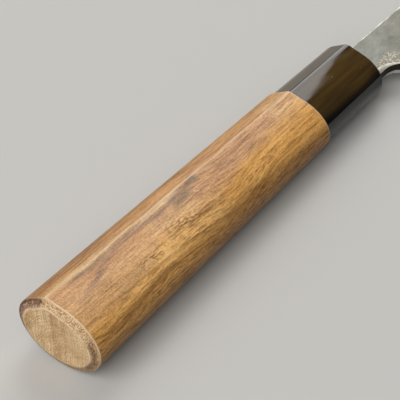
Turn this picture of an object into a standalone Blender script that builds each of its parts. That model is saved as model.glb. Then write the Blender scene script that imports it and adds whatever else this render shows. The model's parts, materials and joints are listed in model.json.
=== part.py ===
"""Yanagiba: a right-handed Japanese slicing knife with a ridged walnut handle.

Each piece is modelled in the knife's own frame: +X runs from the butt of the handle to the tip of
the blade, +Y points to the spine and +Z out of the right-hand (omote) side, and the origin is the
middle of the butt. The whole knife hangs on one empty, which lays it down on its left side, the way
it rests on a floor.
"""

import math

import bmesh
import bpy
import numpy as np
from mathutils import Matrix, Vector

# Handle, in metres
WOOD_LENGTH = 0.110
FERRULE_LENGTH = 0.031
BUTT_HEIGHT = 0.0270
BUTT_THICKNESS = 0.0206
FRONT_HEIGHT = 0.0223
FRONT_THICKNESS = 0.0162
RIDGE_ANGLE = math.radians(23)
RIDGE_PROUD = 0.0011
RIDGE_ROUNDING = 0.0009
BUTT_CHAMFER_WIDTH = 0.0026
BUTT_CHAMFER_DEPTH = 0.0013
WOOD_FRONT_CHAMFER = 0.0003
FERRULE_STEP = 0.0005
FERRULE_ROUNDING = 0.0012
GLUE_SEAM = 0.0001

# Dowel that joins wood and horn
DOWEL_DIAMETER = 0.0110
DOWEL_END_WALL = 0.0070
DOWEL_CHAMFER = 0.0005
DOWEL_FIT = 0.0003
FERRULE_FRONT_WALL = 0.0065

# Neck and tang
NECK_HEIGHT = 0.0131
NECK_DROP = 0.0012
NECK_STRAIGHT = 0.0040
NECK_CURVE_RADIUS = 0.0078
NECK_ROUNDING = 0.0012
NECK_SEAT = 0.0052
SHOULDER_RUN = 0.0006
TANG_LENGTH = 0.092
TANG_FRONT_HEIGHT = 0.0078
TANG_END_HEIGHT = 0.0042
TANG_FRONT_THICKNESS = 0.0034
TANG_END_THICKNESS = 0.0022
TANG_CHAMFER = 0.0005
TANG_FIT = 0.0003

# Resin collar round the neck
SEAL_WALL = 0.0008
SEAL_FIT = 0.0001
SEAL_RECESS = 0.0003
SEAL_LENGTH = 0.0046
SEAL_CORNER_RADIUS = 0.0014

# Blade
BLADE_REACH = 0.270
BLADE_THICKNESS = 0.0040
TIP_THICKNESS = 0.0015
HEEL_HEIGHT = 0.0330
HEEL_LEAN = 0.0008
SPINE_DROP = math.radians(0.9)
SPINE_BOW = 0.0016
SPINE_BOW_POWER = 3.0
SPINE_CHAMFER = 0.0006
EDGE_TAPER = 0.12
EDGE_SWEEP = 5.2
EDGE_LAND = 0.0001
HEEL_BEVEL = 0.0180
TIP_BEVEL = 0.0070
TIP_BLUNTNESS = 0.0004

# Hard-steel layer on the back, and its hollow grind
LAYER_SHARE = 0.30
WELD_GAP = 0.00004
WELD_LIP = 0.00010
FEATHER = 0.00012
SCARF_START = 0.0070
SCARF_LENGTH = 0.0040
HOLLOW_DEPTH = 0.00040
HOLLOW_START = 0.0060
HOLLOW_RUN_IN = 0.0160
HOLLOW_STOP = 0.0120
HOLLOW_RUN_OUT = 0.0500
EDGE_RIM = 0.0012
SPINE_RIM = 0.0018

# Where the edge touches the floor, measured back from the tip
REST_TOUCH = 0.040

# How finely curves are divided
OUTLINE_STEPS = 96
RIDGE_STEPS = 5
BORE_STEPS = 64
CORNER_STEPS = 7
ROUNDING_STEPS = 6
NECK_ROUND_STEPS = 4
CURVE_STEPS = 14
BLADE_STEPS = 90
HOLLOW_STEPS = 12

# Places that follow from the sizes
HANDLE_LENGTH = WOOD_LENGTH + FERRULE_LENGTH
CURVE_X = HANDLE_LENGTH + NECK_STRAIGHT
HEEL_X = CURVE_X + NECK_CURVE_RADIUS
CORNER_X = HEEL_X + HEEL_LEAN
TIP_X = HANDLE_LENGTH + BLADE_REACH
BACK_Z = -BLADE_THICKNESS / 2
TANG_Y = -NECK_DROP
SHOULDER_X = HANDLE_LENGTH - NECK_SEAT
TANG_END_X = HANDLE_LENGTH - TANG_LENGTH
SCARF_X = HEEL_X - SCARF_START
DOWEL_START_X = TANG_END_X - DOWEL_END_WALL
DOWEL_END_X = HANDLE_LENGTH - FERRULE_FRONT_WALL - DOWEL_FIT


def clear_scene():
    """Remove everything that the file opened with."""
    for item in list(bpy.data.objects):
        bpy.data.objects.remove(item, do_unlink=True)


def make_material(name, colour, roughness, metallic=0.0, coat=0.0):
    """A Principled material of one colour."""
    material = bpy.data.materials.new(name)
    material.use_nodes = True
    material.diffuse_color = (*colour, 1.0)
    shader = material.node_tree.nodes["Principled BSDF"]
    shader.inputs["Base Color"].default_value = (*colour, 1.0)
    shader.inputs["Roughness"].default_value = roughness
    shader.inputs["Metallic"].default_value = metallic
    shader.inputs["Coat Weight"].default_value = coat
    return material


def loft(name, rings, material=None, smooth_angle=math.radians(25)):
    """Skin a row of closed rings that have equally many points, and cap both ends.

    Points of neighbouring rings may coincide, as where a chamfer runs out: they are merged.
    """
    builder = bmesh.new()
    rows = [[builder.verts.new(point) for point in ring] for ring in rings]
    for near, far in zip(rows, rows[1:]):
        for index in range(len(near)):
            following = (index + 1) % len(near)
            builder.faces.new((near[index], near[following], far[following], far[index]))
    builder.faces.new(reversed(rows[0]))
    builder.faces.new(rows[-1])
    bmesh.ops.remove_doubles(builder, verts=builder.verts, dist=1e-7)
    bmesh.ops.recalc_face_normals(builder, faces=builder.faces)
    mesh = bpy.data.meshes.new(name)
    builder.to_mesh(mesh)
    builder.free()
    mesh.shade_smooth()
    mesh.set_sharp_from_angle(angle=smooth_angle)
    if material:
        mesh.materials.append(material)
    piece = bpy.data.objects.new(name, mesh)
    bpy.context.collection.objects.link(piece)
    return piece


def cut(piece, cutter):
    """Take a cutter's shape out of a piece, and keep the cutter as a hidden guide."""
    cutter.hide_render = True
    cutter.display_type = "WIRE"
    boolean = piece.modifiers.new(cutter.name, "BOOLEAN")
    boolean.operation = "DIFFERENCE"
    boolean.solver = "EXACT"
    boolean.object = cutter


def blend(start, end, share):
    """A value part of the way from start to end, with the share kept between 0 and 1."""
    return start + (end - start) * min(max(share, 0.0), 1.0)


def ease(share):
    """A share from 0 to 1 that starts and stops gently."""
    share = min(max(share, 0.0), 1.0)
    return share * share * (3 - 2 * share)


# Handle and ferrule

def handle_oval(x, inset=0.0):
    """Half height and half thickness of the handle's oval, which tapers evenly to the front."""
    share = x / HANDLE_LENGTH
    half_height = blend(BUTT_HEIGHT, FRONT_HEIGHT, share) / 2 - inset
    half_thickness = blend(BUTT_THICKNESS, FRONT_THICKNESS, share) / 2 - inset
    return half_height, half_thickness


def handle_outline(x, inset=0.0):
    """Cross-section of the handle at x: an oval with a ridge on its right-hand side.

    The ridge stands proud of the oval by the same amount all along, and both its flanks meet the
    oval as tangents.
    """
    half_height, half_thickness = handle_oval(x, inset)
    across, up = math.cos(RIDGE_ANGLE), math.sin(RIDGE_ANGLE)
    reach = RIDGE_PROUD + 1 / math.hypot(across / half_thickness, up / half_height)
    ridge = np.array([reach * up, reach * across])

    # With the oval squeezed to a unit circle, a tangent from the ridge has a simple angle
    squeezed = ridge / (half_height, half_thickness)
    turn = math.atan2(*squeezed)
    opening = math.acos(1 / math.hypot(*squeezed))
    angles = np.linspace(turn + opening, turn - opening + 2 * math.pi, OUTLINE_STEPS)
    oval = np.stack([half_height * np.sin(angles), half_thickness * np.cos(angles)], axis=1)

    # A short curve eases the ridge between its two flanks
    lower, upper = oval[-1] - ridge, oval[0] - ridge
    start = ridge + lower * RIDGE_ROUNDING / np.linalg.norm(lower)
    end = ridge + upper * RIDGE_ROUNDING / np.linalg.norm(upper)
    steps = np.linspace(0, 1, RIDGE_STEPS)[:, None]
    crest = (1 - steps) ** 2 * start + 2 * steps * (1 - steps) * ridge + steps ** 2 * end
    return [(x, y, z) for y, z in np.concatenate([oval, crest])]


def circle(x, radius):
    """A round ring at x, centred on the tang."""
    angles = np.linspace(0, 2 * math.pi, BORE_STEPS, endpoint=False)
    return [(x, TANG_Y + radius * math.cos(angle), radius * math.sin(angle)) for angle in angles]


def rounded_slot(x, wall, radius):
    """The neck's height and thickness grown by a wall at x, with round corners."""
    height = NECK_HEIGHT / 2 + wall - radius
    thickness = BLADE_THICKNESS / 2 + wall - radius
    ring = []
    for quarter in range(4):
        middle = math.pi / 2 * (quarter + 0.5)
        centre_y = TANG_Y + math.copysign(height, math.cos(middle))
        centre_z = math.copysign(thickness, math.sin(middle))
        for step in range(CORNER_STEPS):
            angle = math.pi / 2 * (quarter + step / (CORNER_STEPS - 1))
            ring.append((x, centre_y + radius * math.cos(angle), centre_z + radius * math.sin(angle)))
    return ring


def make_handle_body(material):
    """The walnut handle: chamfered butt, even taper and a blind bore for the dowel."""
    body = loft("handle_body", [
        handle_outline(0.0, BUTT_CHAMFER_WIDTH),
        handle_outline(BUTT_CHAMFER_DEPTH),
        handle_outline(WOOD_LENGTH - WOOD_FRONT_CHAMFER),
        handle_outline(WOOD_LENGTH, WOOD_FRONT_CHAMFER),
    ], material)
    radius = DOWEL_DIAMETER / 2 + DOWEL_FIT
    bore = loft("handle_bore", [
        circle(DOWEL_START_X - DOWEL_FIT, radius),
        circle(HANDLE_LENGTH, radius),
    ])
    cut(body, bore)
    return [body, bore]


def make_ferrule(material):
    """The horn ferrule: it carries the handle's lines on, a step below the wood, to a round lip."""
    rings = [handle_outline(WOOD_LENGTH + GLUE_SEAM, FERRULE_STEP)]
    for step in range(ROUNDING_STEPS + 1):
        angle = math.pi / 2 * step / ROUNDING_STEPS
        x = HANDLE_LENGTH - FERRULE_ROUNDING * (1 - math.sin(angle))
        rings.append(handle_outline(x, FERRULE_STEP + FERRULE_ROUNDING * (1 - math.cos(angle))))
    ferrule = loft("ferrule", rings, material)
    radius = DOWEL_DIAMETER / 2 + DOWEL_FIT
    bore = loft("ferrule_bore", [
        circle(DOWEL_START_X, radius),
        circle(HANDLE_LENGTH - FERRULE_FRONT_WALL, radius),
    ])
    mouth = loft("ferrule_mouth", [
        rounded_slot(HANDLE_LENGTH - 2 * FERRULE_FRONT_WALL, SEAL_WALL, SEAL_CORNER_RADIUS),
        rounded_slot(HANDLE_LENGTH + FERRULE_FRONT_WALL, SEAL_WALL, SEAL_CORNER_RADIUS),
    ])
    cut(ferrule, bore)
    cut(ferrule, mouth)
    return [ferrule, bore, mouth]


def make_dowel(material):
    """The dowel, chamfered at both ends and slotted from the front for the tang."""
    radius = DOWEL_DIAMETER / 2
    dowel = loft("dowel", [
        circle(DOWEL_START_X, radius - DOWEL_CHAMFER),
        circle(DOWEL_START_X + DOWEL_CHAMFER, radius),
        circle(DOWEL_END_X - DOWEL_CHAMFER, radius),
        circle(DOWEL_END_X, radius - DOWEL_CHAMFER),
    ], material)
    slot = loft("tang_slot", [
        tang_outline(TANG_END_X - TANG_FIT, TANG_FIT),
        tang_outline(HANDLE_LENGTH, TANG_FIT),
    ])
    cut(dowel, slot)
    return [dowel, slot]


def make_neck_seal(material):
    """The resin collar that fills the ferrule's mouth round the neck, a little sunk."""
    front = HANDLE_LENGTH - SEAL_RECESS
    back = front - SEAL_LENGTH
    wall = SEAL_WALL - SEAL_FIT
    radius = SEAL_CORNER_RADIUS - SEAL_FIT
    seal = loft("neck_seal", [
        rounded_slot(back, wall, radius),
        rounded_slot(front, wall, radius),
    ], material)
    opening = loft("neck_opening", [
        neck_outline(back - SEAL_WALL, SEAL_FIT),
        neck_outline(front + SEAL_WALL, SEAL_FIT),
    ])
    cut(seal, opening)
    return [seal, opening]


# Neck and tang

def plain_ring(x, top, bottom, side):
    """A rectangle at x between two heights, equally thick on both sides."""
    return [(x, top, -side), (x, top, side), (x, bottom, side), (x, bottom, -side)]


def spine_y(x):
    """Height of the spine, which drops evenly from the handle and bows down towards the tip."""
    drop = math.tan(SPINE_DROP) * (x - HANDLE_LENGTH)
    bow = SPINE_BOW * blade_share(x) ** SPINE_BOW_POWER
    return TANG_Y + NECK_HEIGHT / 2 - drop - bow


def neck_outline(x, clearance):
    """Plain cross-section of the neck at x, grown by a clearance."""
    top = spine_y(x)
    return plain_ring(x, top + clearance, top - NECK_HEIGHT - clearance,
                      BLADE_THICKNESS / 2 + clearance)


def tang_sizes(x):
    """Half height and half thickness of the tapering tang at x."""
    share = (x - TANG_END_X) / (SHOULDER_X - TANG_END_X)
    height = TANG_END_HEIGHT + (TANG_FRONT_HEIGHT - TANG_END_HEIGHT) * share
    thickness = TANG_END_THICKNESS + (TANG_FRONT_THICKNESS - TANG_END_THICKNESS) * share
    return height / 2, thickness / 2


def tang_outline(x, clearance):
    """Plain cross-section of the tang at x, grown by a clearance."""
    height, side = tang_sizes(x)
    return plain_ring(x, TANG_Y + height + clearance, TANG_Y - height - clearance,
                      side + clearance)


# Blade

def blade_share(x):
    """How far along the blade x lies: 0 at the heel's corner and 1 at the tip."""
    return min(max((x - CORNER_X) / (TIP_X - CORNER_X), 0.0), 1.0)


def edge_y(x):
    """Height of the cutting edge: the blade narrows slowly, then the edge sweeps up to the tip."""
    share = blade_share(x)
    return spine_y(x) - HEEL_HEIGHT * (1 - EDGE_TAPER * share) * (1 - share ** EDGE_SWEEP)


def edge_slope(x):
    """Rise of the cutting edge for each unit of length, from the parts of its formula."""
    share = blade_share(x)
    taper = EDGE_TAPER * (1 - share ** EDGE_SWEEP)
    sweep = (1 - EDGE_TAPER * share) * EDGE_SWEEP * share ** (EDGE_SWEEP - 1)
    bow = SPINE_BOW * SPINE_BOW_POWER * share ** (SPINE_BOW_POWER - 1)
    return (HEEL_HEIGHT * (taper + sweep) - bow) / (TIP_X - CORNER_X) - math.tan(SPINE_DROP)


def lower_y(x):
    """Height of the lower side: the neck, the arc into the heel, the heel and the edge."""
    if x >= CORNER_X:
        return edge_y(x)
    if x <= CURVE_X:
        return spine_y(x) - NECK_HEIGHT
    arc = NECK_CURVE_RADIUS ** 2 - min(x - CURVE_X, NECK_CURVE_RADIUS) ** 2
    arc_y = spine_y(CURVE_X) - NECK_HEIGHT - NECK_CURVE_RADIUS + math.sqrt(arc)
    return blend(arc_y, edge_y(CORNER_X), (x - HEEL_X) / HEEL_LEAN)


def flat_z(x):
    """The right-hand flat, one plane that closes in on the back towards the tip."""
    return BACK_Z + blend(BLADE_THICKNESS, TIP_THICKNESS, blade_share(x))


def bevel_width(x):
    """Width of the single bevel, from the edge up to the shinogi line."""
    return blend(HEEL_BEVEL, TIP_BEVEL, blade_share(x))


def bevel_rise(x):
    """Steepness of the bevel, which climbs from the edge's land to the flat."""
    return (flat_z(x) - BACK_Z - EDGE_LAND) / bevel_width(x)


def face_z(x, y):
    """The right-hand face: the bevel as far as the shinogi line, and the flat above it."""
    return min(flat_z(x), BACK_Z + EDGE_LAND + bevel_rise(x) * (y - edge_y(x)))


def bevel_y(x, z):
    """Height at which the bevel has risen to z, but never above the spine."""
    return min(spine_y(x), edge_y(x) + (z - BACK_Z - EDGE_LAND) / bevel_rise(x))


def layer_z(x):
    """Upper side of the hard-steel layer, with the scarf that starts it."""
    full = LAYER_SHARE * (flat_z(x) - BACK_Z)
    return BACK_Z + blend(WELD_LIP, full, (x - SCARF_X) / SCARF_LENGTH)


def hollow_depth(x):
    """Depth of the hollow grind: it runs in past the heel and out before the tip."""
    run_in = ease((x - CORNER_X - HOLLOW_START) / HOLLOW_RUN_IN)
    run_out = ease((TIP_X - HOLLOW_STOP - x) / HOLLOW_RUN_OUT)
    return HOLLOW_DEPTH * run_in * run_out


def blade_stations():
    """Places along the blade, from the scarf to the tip, closer together where it curves."""
    arc = [CURVE_X + NECK_CURVE_RADIUS * math.sin(math.pi / 2 * step / CURVE_STEPS)
           for step in range(1, CURVE_STEPS + 1)]
    scarf = [SCARF_X, SCARF_X + SCARF_LENGTH]
    last = TIP_X - TIP_BLUNTNESS
    blade = [CORNER_X + (last - CORNER_X) * math.sin(math.pi / 2 * step / BLADE_STEPS)
             for step in range(BLADE_STEPS + 1)]
    return sorted(set(arc + scarf + blade))


def lower_corner(x, bottom, face, radius):
    """Quarter round from the right-hand face into the lower side."""
    angles = [math.pi / 2 * step / NECK_ROUND_STEPS for step in range(NECK_ROUND_STEPS + 1)]
    return [(x, bottom + radius * (1 - math.sin(angle)), face - radius * (1 - math.cos(angle)))
            for angle in angles]


def iron_ring(x, back):
    """Cross-section of the soft iron at x, whose back is the neck's own or the weld."""
    top = spine_y(x)
    bottom = max(lower_y(x), bevel_y(x, back))
    rounding = blend(NECK_ROUNDING, 0.0, (x - CURVE_X) / NECK_CURVE_RADIUS)
    spine_cut = min(SPINE_CHAMFER, (face_z(x, top) - back) / 3)
    shinogi = min(edge_y(x) + bevel_width(x), top - spine_cut)
    crease = max(shinogi, bottom + rounding)
    return [
        (x, top, back),
        (x, top, face_z(x, top) - spine_cut),
        (x, top - spine_cut, face_z(x, top - spine_cut)),
        (x, crease, face_z(x, crease)),
        *lower_corner(x, bottom, face_z(x, bottom + rounding), rounding),
        (x, bottom, back),
    ]


def tang_ring(x, height, side):
    """Cross-section of the tang, with as many points as the blade's."""
    top, bottom = TANG_Y + height, TANG_Y - height
    return [
        (x, top, -side),
        (x, top, side - TANG_CHAMFER),
        (x, top - TANG_CHAMFER, side),
        (x, TANG_Y, side),
        *lower_corner(x, bottom, side, TANG_CHAMFER),
        (x, bottom, -side),
    ]


def make_blade_iron(material):
    """The soft-iron body: tang, shoulders, neck, heel, flat and the upper part of the bevel."""
    rings = [tang_ring(x, *tang_sizes(x)) for x in (TANG_END_X, SHOULDER_X)]
    for x in (SHOULDER_X + SHOULDER_RUN, CURVE_X):
        rings.append(iron_ring(x, BACK_Z))
    for x in blade_stations():
        if x <= SCARF_X:
            rings.append(iron_ring(x, BACK_Z))
        if x >= SCARF_X and face_z(x, spine_y(x)) - layer_z(x) > FEATHER:
            rings.append(iron_ring(x, layer_z(x)))
    return [loft("blade_jigane", rings, material)]


def steel_ring(x):
    """Cross-section of the hard steel at x: weld, bevel, edge, rims and the hollow between."""
    weld = layer_z(x) - WELD_GAP
    top, bottom = spine_y(x), lower_y(x)
    seam = max(bottom, bevel_y(x, weld))
    spine_z = min(weld, face_z(x, top))
    spine_cut = min(SPINE_CHAMFER / 2, (spine_z - BACK_Z) / 3)
    low = bottom + min(EDGE_RIM, (top - bottom) / 4)
    high = top - max(min(SPINE_RIM, (top - bottom) / 4), spine_cut)
    ring = [
        (x, top, spine_z),
        (x, seam, min(weld, face_z(x, seam))),
        (x, bottom, min(weld, face_z(x, bottom))),
        (x, bottom, BACK_Z),
    ]
    for share in np.linspace(0, 1, HOLLOW_STEPS + 1):
        dish = hollow_depth(x) * (1 - (2 * share - 1) ** 2)
        ring.append((x, blend(low, high, share), BACK_Z + dish))
    ring.append((x, top - spine_cut, BACK_Z))
    ring.append((x, top, BACK_Z + spine_cut))
    return ring


def make_blade_steel(material):
    """The hard-steel layer: it backs the whole blade, is hollow-ground and carries the edge."""
    stations = [SCARF_X + WELD_GAP] + [x for x in blade_stations() if x > SCARF_X]
    return [loft("blade_hagane", [steel_ring(x) for x in stations], material)]


# Rest

def tilt_to_oval(touch, across, x, inset):
    """Tilt of the floor about the edge's tangent at which it meets the handle's oval at x.

    A plane tilted by t lies lift + reach * tan(t) below the oval's middle, and the oval reaches
    the root of half_thickness^2 + (half_height * tan(t))^2 down to it: a quadratic in tan(t).
    """
    half_height, half_thickness = handle_oval(x, inset)
    offset = Vector((x, 0, 0)) - touch
    lift, reach = offset.z, offset.dot(across)
    square = reach ** 2 - (half_height * across.y) ** 2
    root = math.sqrt((lift * reach) ** 2 + square * (half_thickness ** 2 - lift ** 2))
    return math.atan((root - lift * reach) / square)


def resting_rotation():
    """Turn that lays the knife down on the belly of its edge and the underside of its handle.

    The floor holds the edge's tangent where it touches, and tilts about it until it has cleared
    the butt, the front of the wood and the ferrule's lip.
    """
    touch_x = TIP_X - REST_TOUCH
    touch = Vector((touch_x, edge_y(touch_x), BACK_Z))
    along = Vector((1, edge_slope(touch_x), 0)).normalized()
    across = Vector((0, 0, 1)).cross(along)
    ovals = (
        (BUTT_CHAMFER_DEPTH, 0.0),
        (WOOD_LENGTH - WOOD_FRONT_CHAMFER, 0.0),
        (HANDLE_LENGTH - FERRULE_ROUNDING, FERRULE_STEP),
    )
    tilt = max(tilt_to_oval(touch, across, x, inset) for x, inset in ovals)
    upward = Vector((0, 0, 1)) * math.cos(tilt) + across * math.sin(tilt)
    forward = (Vector((1, 0, 0)) - upward * upward.x).normalized()
    return Matrix((forward, upward.cross(forward), upward))


def lay_down(knife, pieces):
    """Turn the knife to rest, with the bottom centre of its box at the origin."""
    rotation = resting_rotation()
    points = np.array([rotation @ vertex.co for piece in pieces for vertex in piece.data.vertices])
    low, high = points.min(axis=0), points.max(axis=0)
    knife.rotation_euler = rotation.to_euler()
    knife.location = (-(low[0] + high[0]) / 2, -(low[1] + high[1]) / 2, -low[2])


def main():
    """Build every piece and lay the knife down."""
    clear_scene()
    iron = make_material("soft_iron", (0.50, 0.50, 0.48), 0.38, metallic=1.0)
    steel = make_material("hard_steel", (0.62, 0.62, 0.61), 0.25, metallic=1.0)
    walnut = make_material("walnut", (0.42, 0.23, 0.11), 0.45)
    horn = make_material("buffalo_horn", (0.030, 0.022, 0.014), 0.22, coat=0.5)
    ho_wood = make_material("ho_wood", (0.66, 0.55, 0.36), 0.60)
    resin = make_material("resin", (0.10, 0.06, 0.03), 0.40)

    made = []
    made += make_handle_body(walnut)
    made += make_ferrule(horn)
    made += make_dowel(ho_wood)
    made += make_neck_seal(resin)
    made += make_blade_iron(iron)
    made += make_blade_steel(steel)

    knife = bpy.data.objects.new("knife", None)
    bpy.context.collection.objects.link(knife)
    for piece in made:
        piece.parent = knife
    lay_down(knife, [piece for piece in made if not piece.hide_render])


main()
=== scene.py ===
"""Yanagiba knife: the looks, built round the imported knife.

Every piece is worked out in the knife's own frame, in millimetres: +X runs from the butt of the handle to
the tip of the blade, +Y points to the spine and +Z out of the right-hand (omote) side, and the origin is
the middle of the butt. Finished meshes are laid down into the world by the pose that the record's two
mounts give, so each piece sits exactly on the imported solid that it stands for.
"""

import itertools
import json
import logging
import math
from collections.abc import Sequence
from dataclasses import dataclass, field
from enum import Enum

import bpy
import numpy as np
from mathutils import Matrix


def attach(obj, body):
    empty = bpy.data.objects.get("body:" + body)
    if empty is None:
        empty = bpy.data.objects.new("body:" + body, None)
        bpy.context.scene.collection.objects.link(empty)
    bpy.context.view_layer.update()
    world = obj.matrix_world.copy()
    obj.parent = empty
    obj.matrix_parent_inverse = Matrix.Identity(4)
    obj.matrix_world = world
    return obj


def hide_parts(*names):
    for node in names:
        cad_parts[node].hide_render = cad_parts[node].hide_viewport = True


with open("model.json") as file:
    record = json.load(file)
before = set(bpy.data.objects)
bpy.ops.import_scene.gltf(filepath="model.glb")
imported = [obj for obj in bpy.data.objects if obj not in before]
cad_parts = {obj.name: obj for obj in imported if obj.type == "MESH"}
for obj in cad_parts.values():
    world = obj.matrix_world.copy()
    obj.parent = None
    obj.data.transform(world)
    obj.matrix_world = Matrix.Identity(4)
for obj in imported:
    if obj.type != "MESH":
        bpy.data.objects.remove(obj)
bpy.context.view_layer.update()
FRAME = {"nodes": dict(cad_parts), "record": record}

MM = 0.001
TINY = 1e-9
BLACK = (0.0, 0.0, 0.0)
LOG = logging.getLogger("yanagiba")

# Edges that turn more sharply than this stay sharp: on wood, horn and resin, and on ground steel
CREASE, STEEL_CREASE = math.radians(35), math.radians(8)
# The zones of a piece that has one finish all over
ONE_ZONE = np.zeros((1, 1), int)
# The butt face's mount lies so far up and out from the middle of the butt, in millimetres
BUTT_MOUNT_UP, BUTT_MOUNT_OUT = 1.0, 0.5

Colour = tuple[float, float, float]
Knots = tuple[tuple[float, float], ...]
Pair = tuple[float | np.ndarray, float | np.ndarray]
Socket = bpy.types.NodeSocket
Value = Socket | float | Sequence[float]
Inputs = dict[str | int, Value] | Sequence[Value]


# The knife's place in the world


@dataclass(frozen=True)
class KnifePose:
    """Where the knife's own frame lies in the world."""

    origin: np.ndarray
    axes: np.ndarray

    @classmethod
    def from_record(cls, record: dict) -> "KnifePose":
        """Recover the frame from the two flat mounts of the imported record.

        The butt face looks back along the handle. The rack face's normal has no part along +Y, so crossing
        it with +X gives +Y.

        Args:
            record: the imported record.

        Returns:
            The pose, with the knife's X, Y and Z axes as the rows of its matrix.
        """
        mounts = {mount["name"]: mount for mount in record["mounts"]}
        along = -np.array(mounts["butt_face"]["axis"])
        along /= np.linalg.norm(along)
        upward = np.cross(mounts["rack_face"]["axis"], along)
        upward /= np.linalg.norm(upward)
        outward = np.cross(along, upward)
        offset = (BUTT_MOUNT_UP * upward + BUTT_MOUNT_OUT * outward) * MM
        return cls(np.array(mounts["butt_face"]["pos_m"]) - offset, np.stack([along, upward, outward]))

    def point(self, points: np.ndarray) -> np.ndarray:
        """Points of the knife in millimetres, as world points in metres."""
        return self.origin + np.asarray(points, float) * MM @ self.axes

    def direction(self, vector: np.ndarray) -> np.ndarray:
        """A direction of the knife's frame, turned into the world's."""
        return np.asarray(vector, float) @ self.axes

    def euler(self) -> tuple[float, float, float]:
        """The turn that takes the knife's frame into the world, for a Mapping node."""
        return tuple(Matrix(self.axes.T.tolist()).to_euler())


POSE = KnifePose.from_record(FRAME["record"])


# Surfaces


def add_object(name: str, data: bpy.types.ID) -> bpy.types.Object:
    """Put a new object with the given mesh, light or camera into the scene.

    Args:
        name: its name.
        data: its mesh, light or camera.

    Returns:
        The object.
    """
    made = bpy.data.objects.new(name, data)
    bpy.context.scene.collection.objects.link(made)
    return made


class Ends(Enum):
    """What closes the two ends of a skin."""

    POLES = "poles"
    LOOP = "loop"


@dataclass
class Skin:
    """A closed surface on a grid: rows follow each other along it, and columns run round it.

    Zones give each face the number of its finish, and masks are values at the points that a finish reads.
    """

    points: np.ndarray
    zones: np.ndarray
    ends: Ends = Ends.POLES
    masks: dict[str, np.ndarray] = field(default_factory=dict)

    def faces(self) -> tuple[np.ndarray, np.ndarray]:
        """Join each point to its neighbours in the next column and row.

        Returns:
            The quads (bands, columns, 4), and the triangles (2, columns, 3) that close poles, which
            are empty for a loop.
        """
        rows, columns = self.points.shape[:2]
        near = np.arange(rows * columns).reshape(rows, columns)
        if self.ends is Ends.LOOP:
            far = np.roll(near, -1, axis=0)
        else:
            near, far = near[:-1], near[1:]
        after, after_far = np.roll(near, -1, axis=1), np.roll(far, -1, axis=1)
        quads = np.stack([near, after, after_far, far], axis=-1)
        if self.ends is Ends.LOOP:
            return quads, np.zeros((0, columns, 3), int)
        first, last = np.full(columns, rows * columns), np.full(columns, rows * columns + 1)
        start = np.stack([after[0], near[0], first], axis=-1)
        stop = np.stack([far[-1], after_far[-1], last], axis=-1)
        return quads, np.stack([start, stop])

    def with_poles(self, values: np.ndarray) -> np.ndarray:
        """The points' values in one row, with the mean of the first and last ring for the two poles.

        Args:
            values: a value or a place for each point, as rows and columns.

        Returns:
            The values in the order of the mesh's points.
        """
        row = values.reshape(-1, *values.shape[2:])
        if self.ends is Ends.LOOP:
            return row
        return np.concatenate([row, values[:1].mean(1), values[-1:].mean(1)])

    def build(self, name: str, finishes: Sequence[bpy.types.Material], crease: float) -> bpy.types.Object:
        """Make the object, in the world, with its faces outwards: a closed surface holds a volume above 0.

        Args:
            name: the piece's name.
            finishes: materials, in the order of the zones' numbers.
            crease: edges sharper than this angle stay sharp, in radians.

        Returns:
            The new object, which rides on the knife's only body.
        """
        quads, fans = self.faces()
        spots = self.with_poles(self.points)
        corners = np.concatenate([quads[..., :3].reshape(-1, 3), quads[..., [0, 2, 3]].reshape(-1, 3),
                                  fans.reshape(-1, 3)])
        a, b, c = (spots[corners[:, k]] for k in range(3))
        if np.einsum("ij,ij->", a, np.cross(b, c)) < 0:
            quads, fans = quads[..., ::-1], fans[..., ::-1]
        faces = quads.reshape(-1, 4).tolist() + fans.reshape(-1, 3).tolist()
        zones = np.broadcast_to(self.zones, quads.shape[:2])
        if self.ends is Ends.POLES:
            zones = np.vstack([zones, zones[0], zones[-1]])
        mesh = bpy.data.meshes.new(name)
        mesh.from_pydata(POSE.point(spots).tolist(), [], faces)
        mesh.polygons.foreach_set("material_index", zones.ravel().astype(np.int32))
        for finish in finishes:
            mesh.materials.append(finish)
        for mask, values in self.masks.items():
            held = mesh.attributes.new(mask, "FLOAT", "POINT").data
            held.foreach_set("value", self.with_poles(values).astype(np.float32))
        mesh.shade_smooth()
        mesh.set_sharp_from_angle(angle=crease)
        mesh.update()
        piece = add_object(name, mesh)
        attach(piece, "root")
        return piece


@dataclass(frozen=True)
class Noise:
    """Smooth random values in space, the same on every run."""

    seed: int
    size: int = 32

    def at(self, points: np.ndarray, wavelength: float | Sequence[float]) -> np.ndarray:
        """Values between -1 and 1: random at whole steps, eased between the eight nearest.

        Args:
            points: places, in an array whose last axis has x, y and z.
            wavelength: length of one step, the same or one for each axis.

        Returns:
            One value for each place.
        """
        lattice = np.random.default_rng(self.seed).uniform(-1, 1, (self.size,) * 3)
        scaled = points / np.asarray(wavelength, float)
        cell = np.floor(scaled).astype(int)
        share = ease(scaled - cell)
        total = np.zeros(points.shape[:-1])
        for corner in itertools.product((0, 1), repeat=3):
            i, j, k = np.moveaxis((cell + corner) % self.size, -1, 0)
            weight = np.prod(np.where(corner, share, 1 - share), axis=-1)
            total += weight * lattice[i, j, k]
        return total


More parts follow.
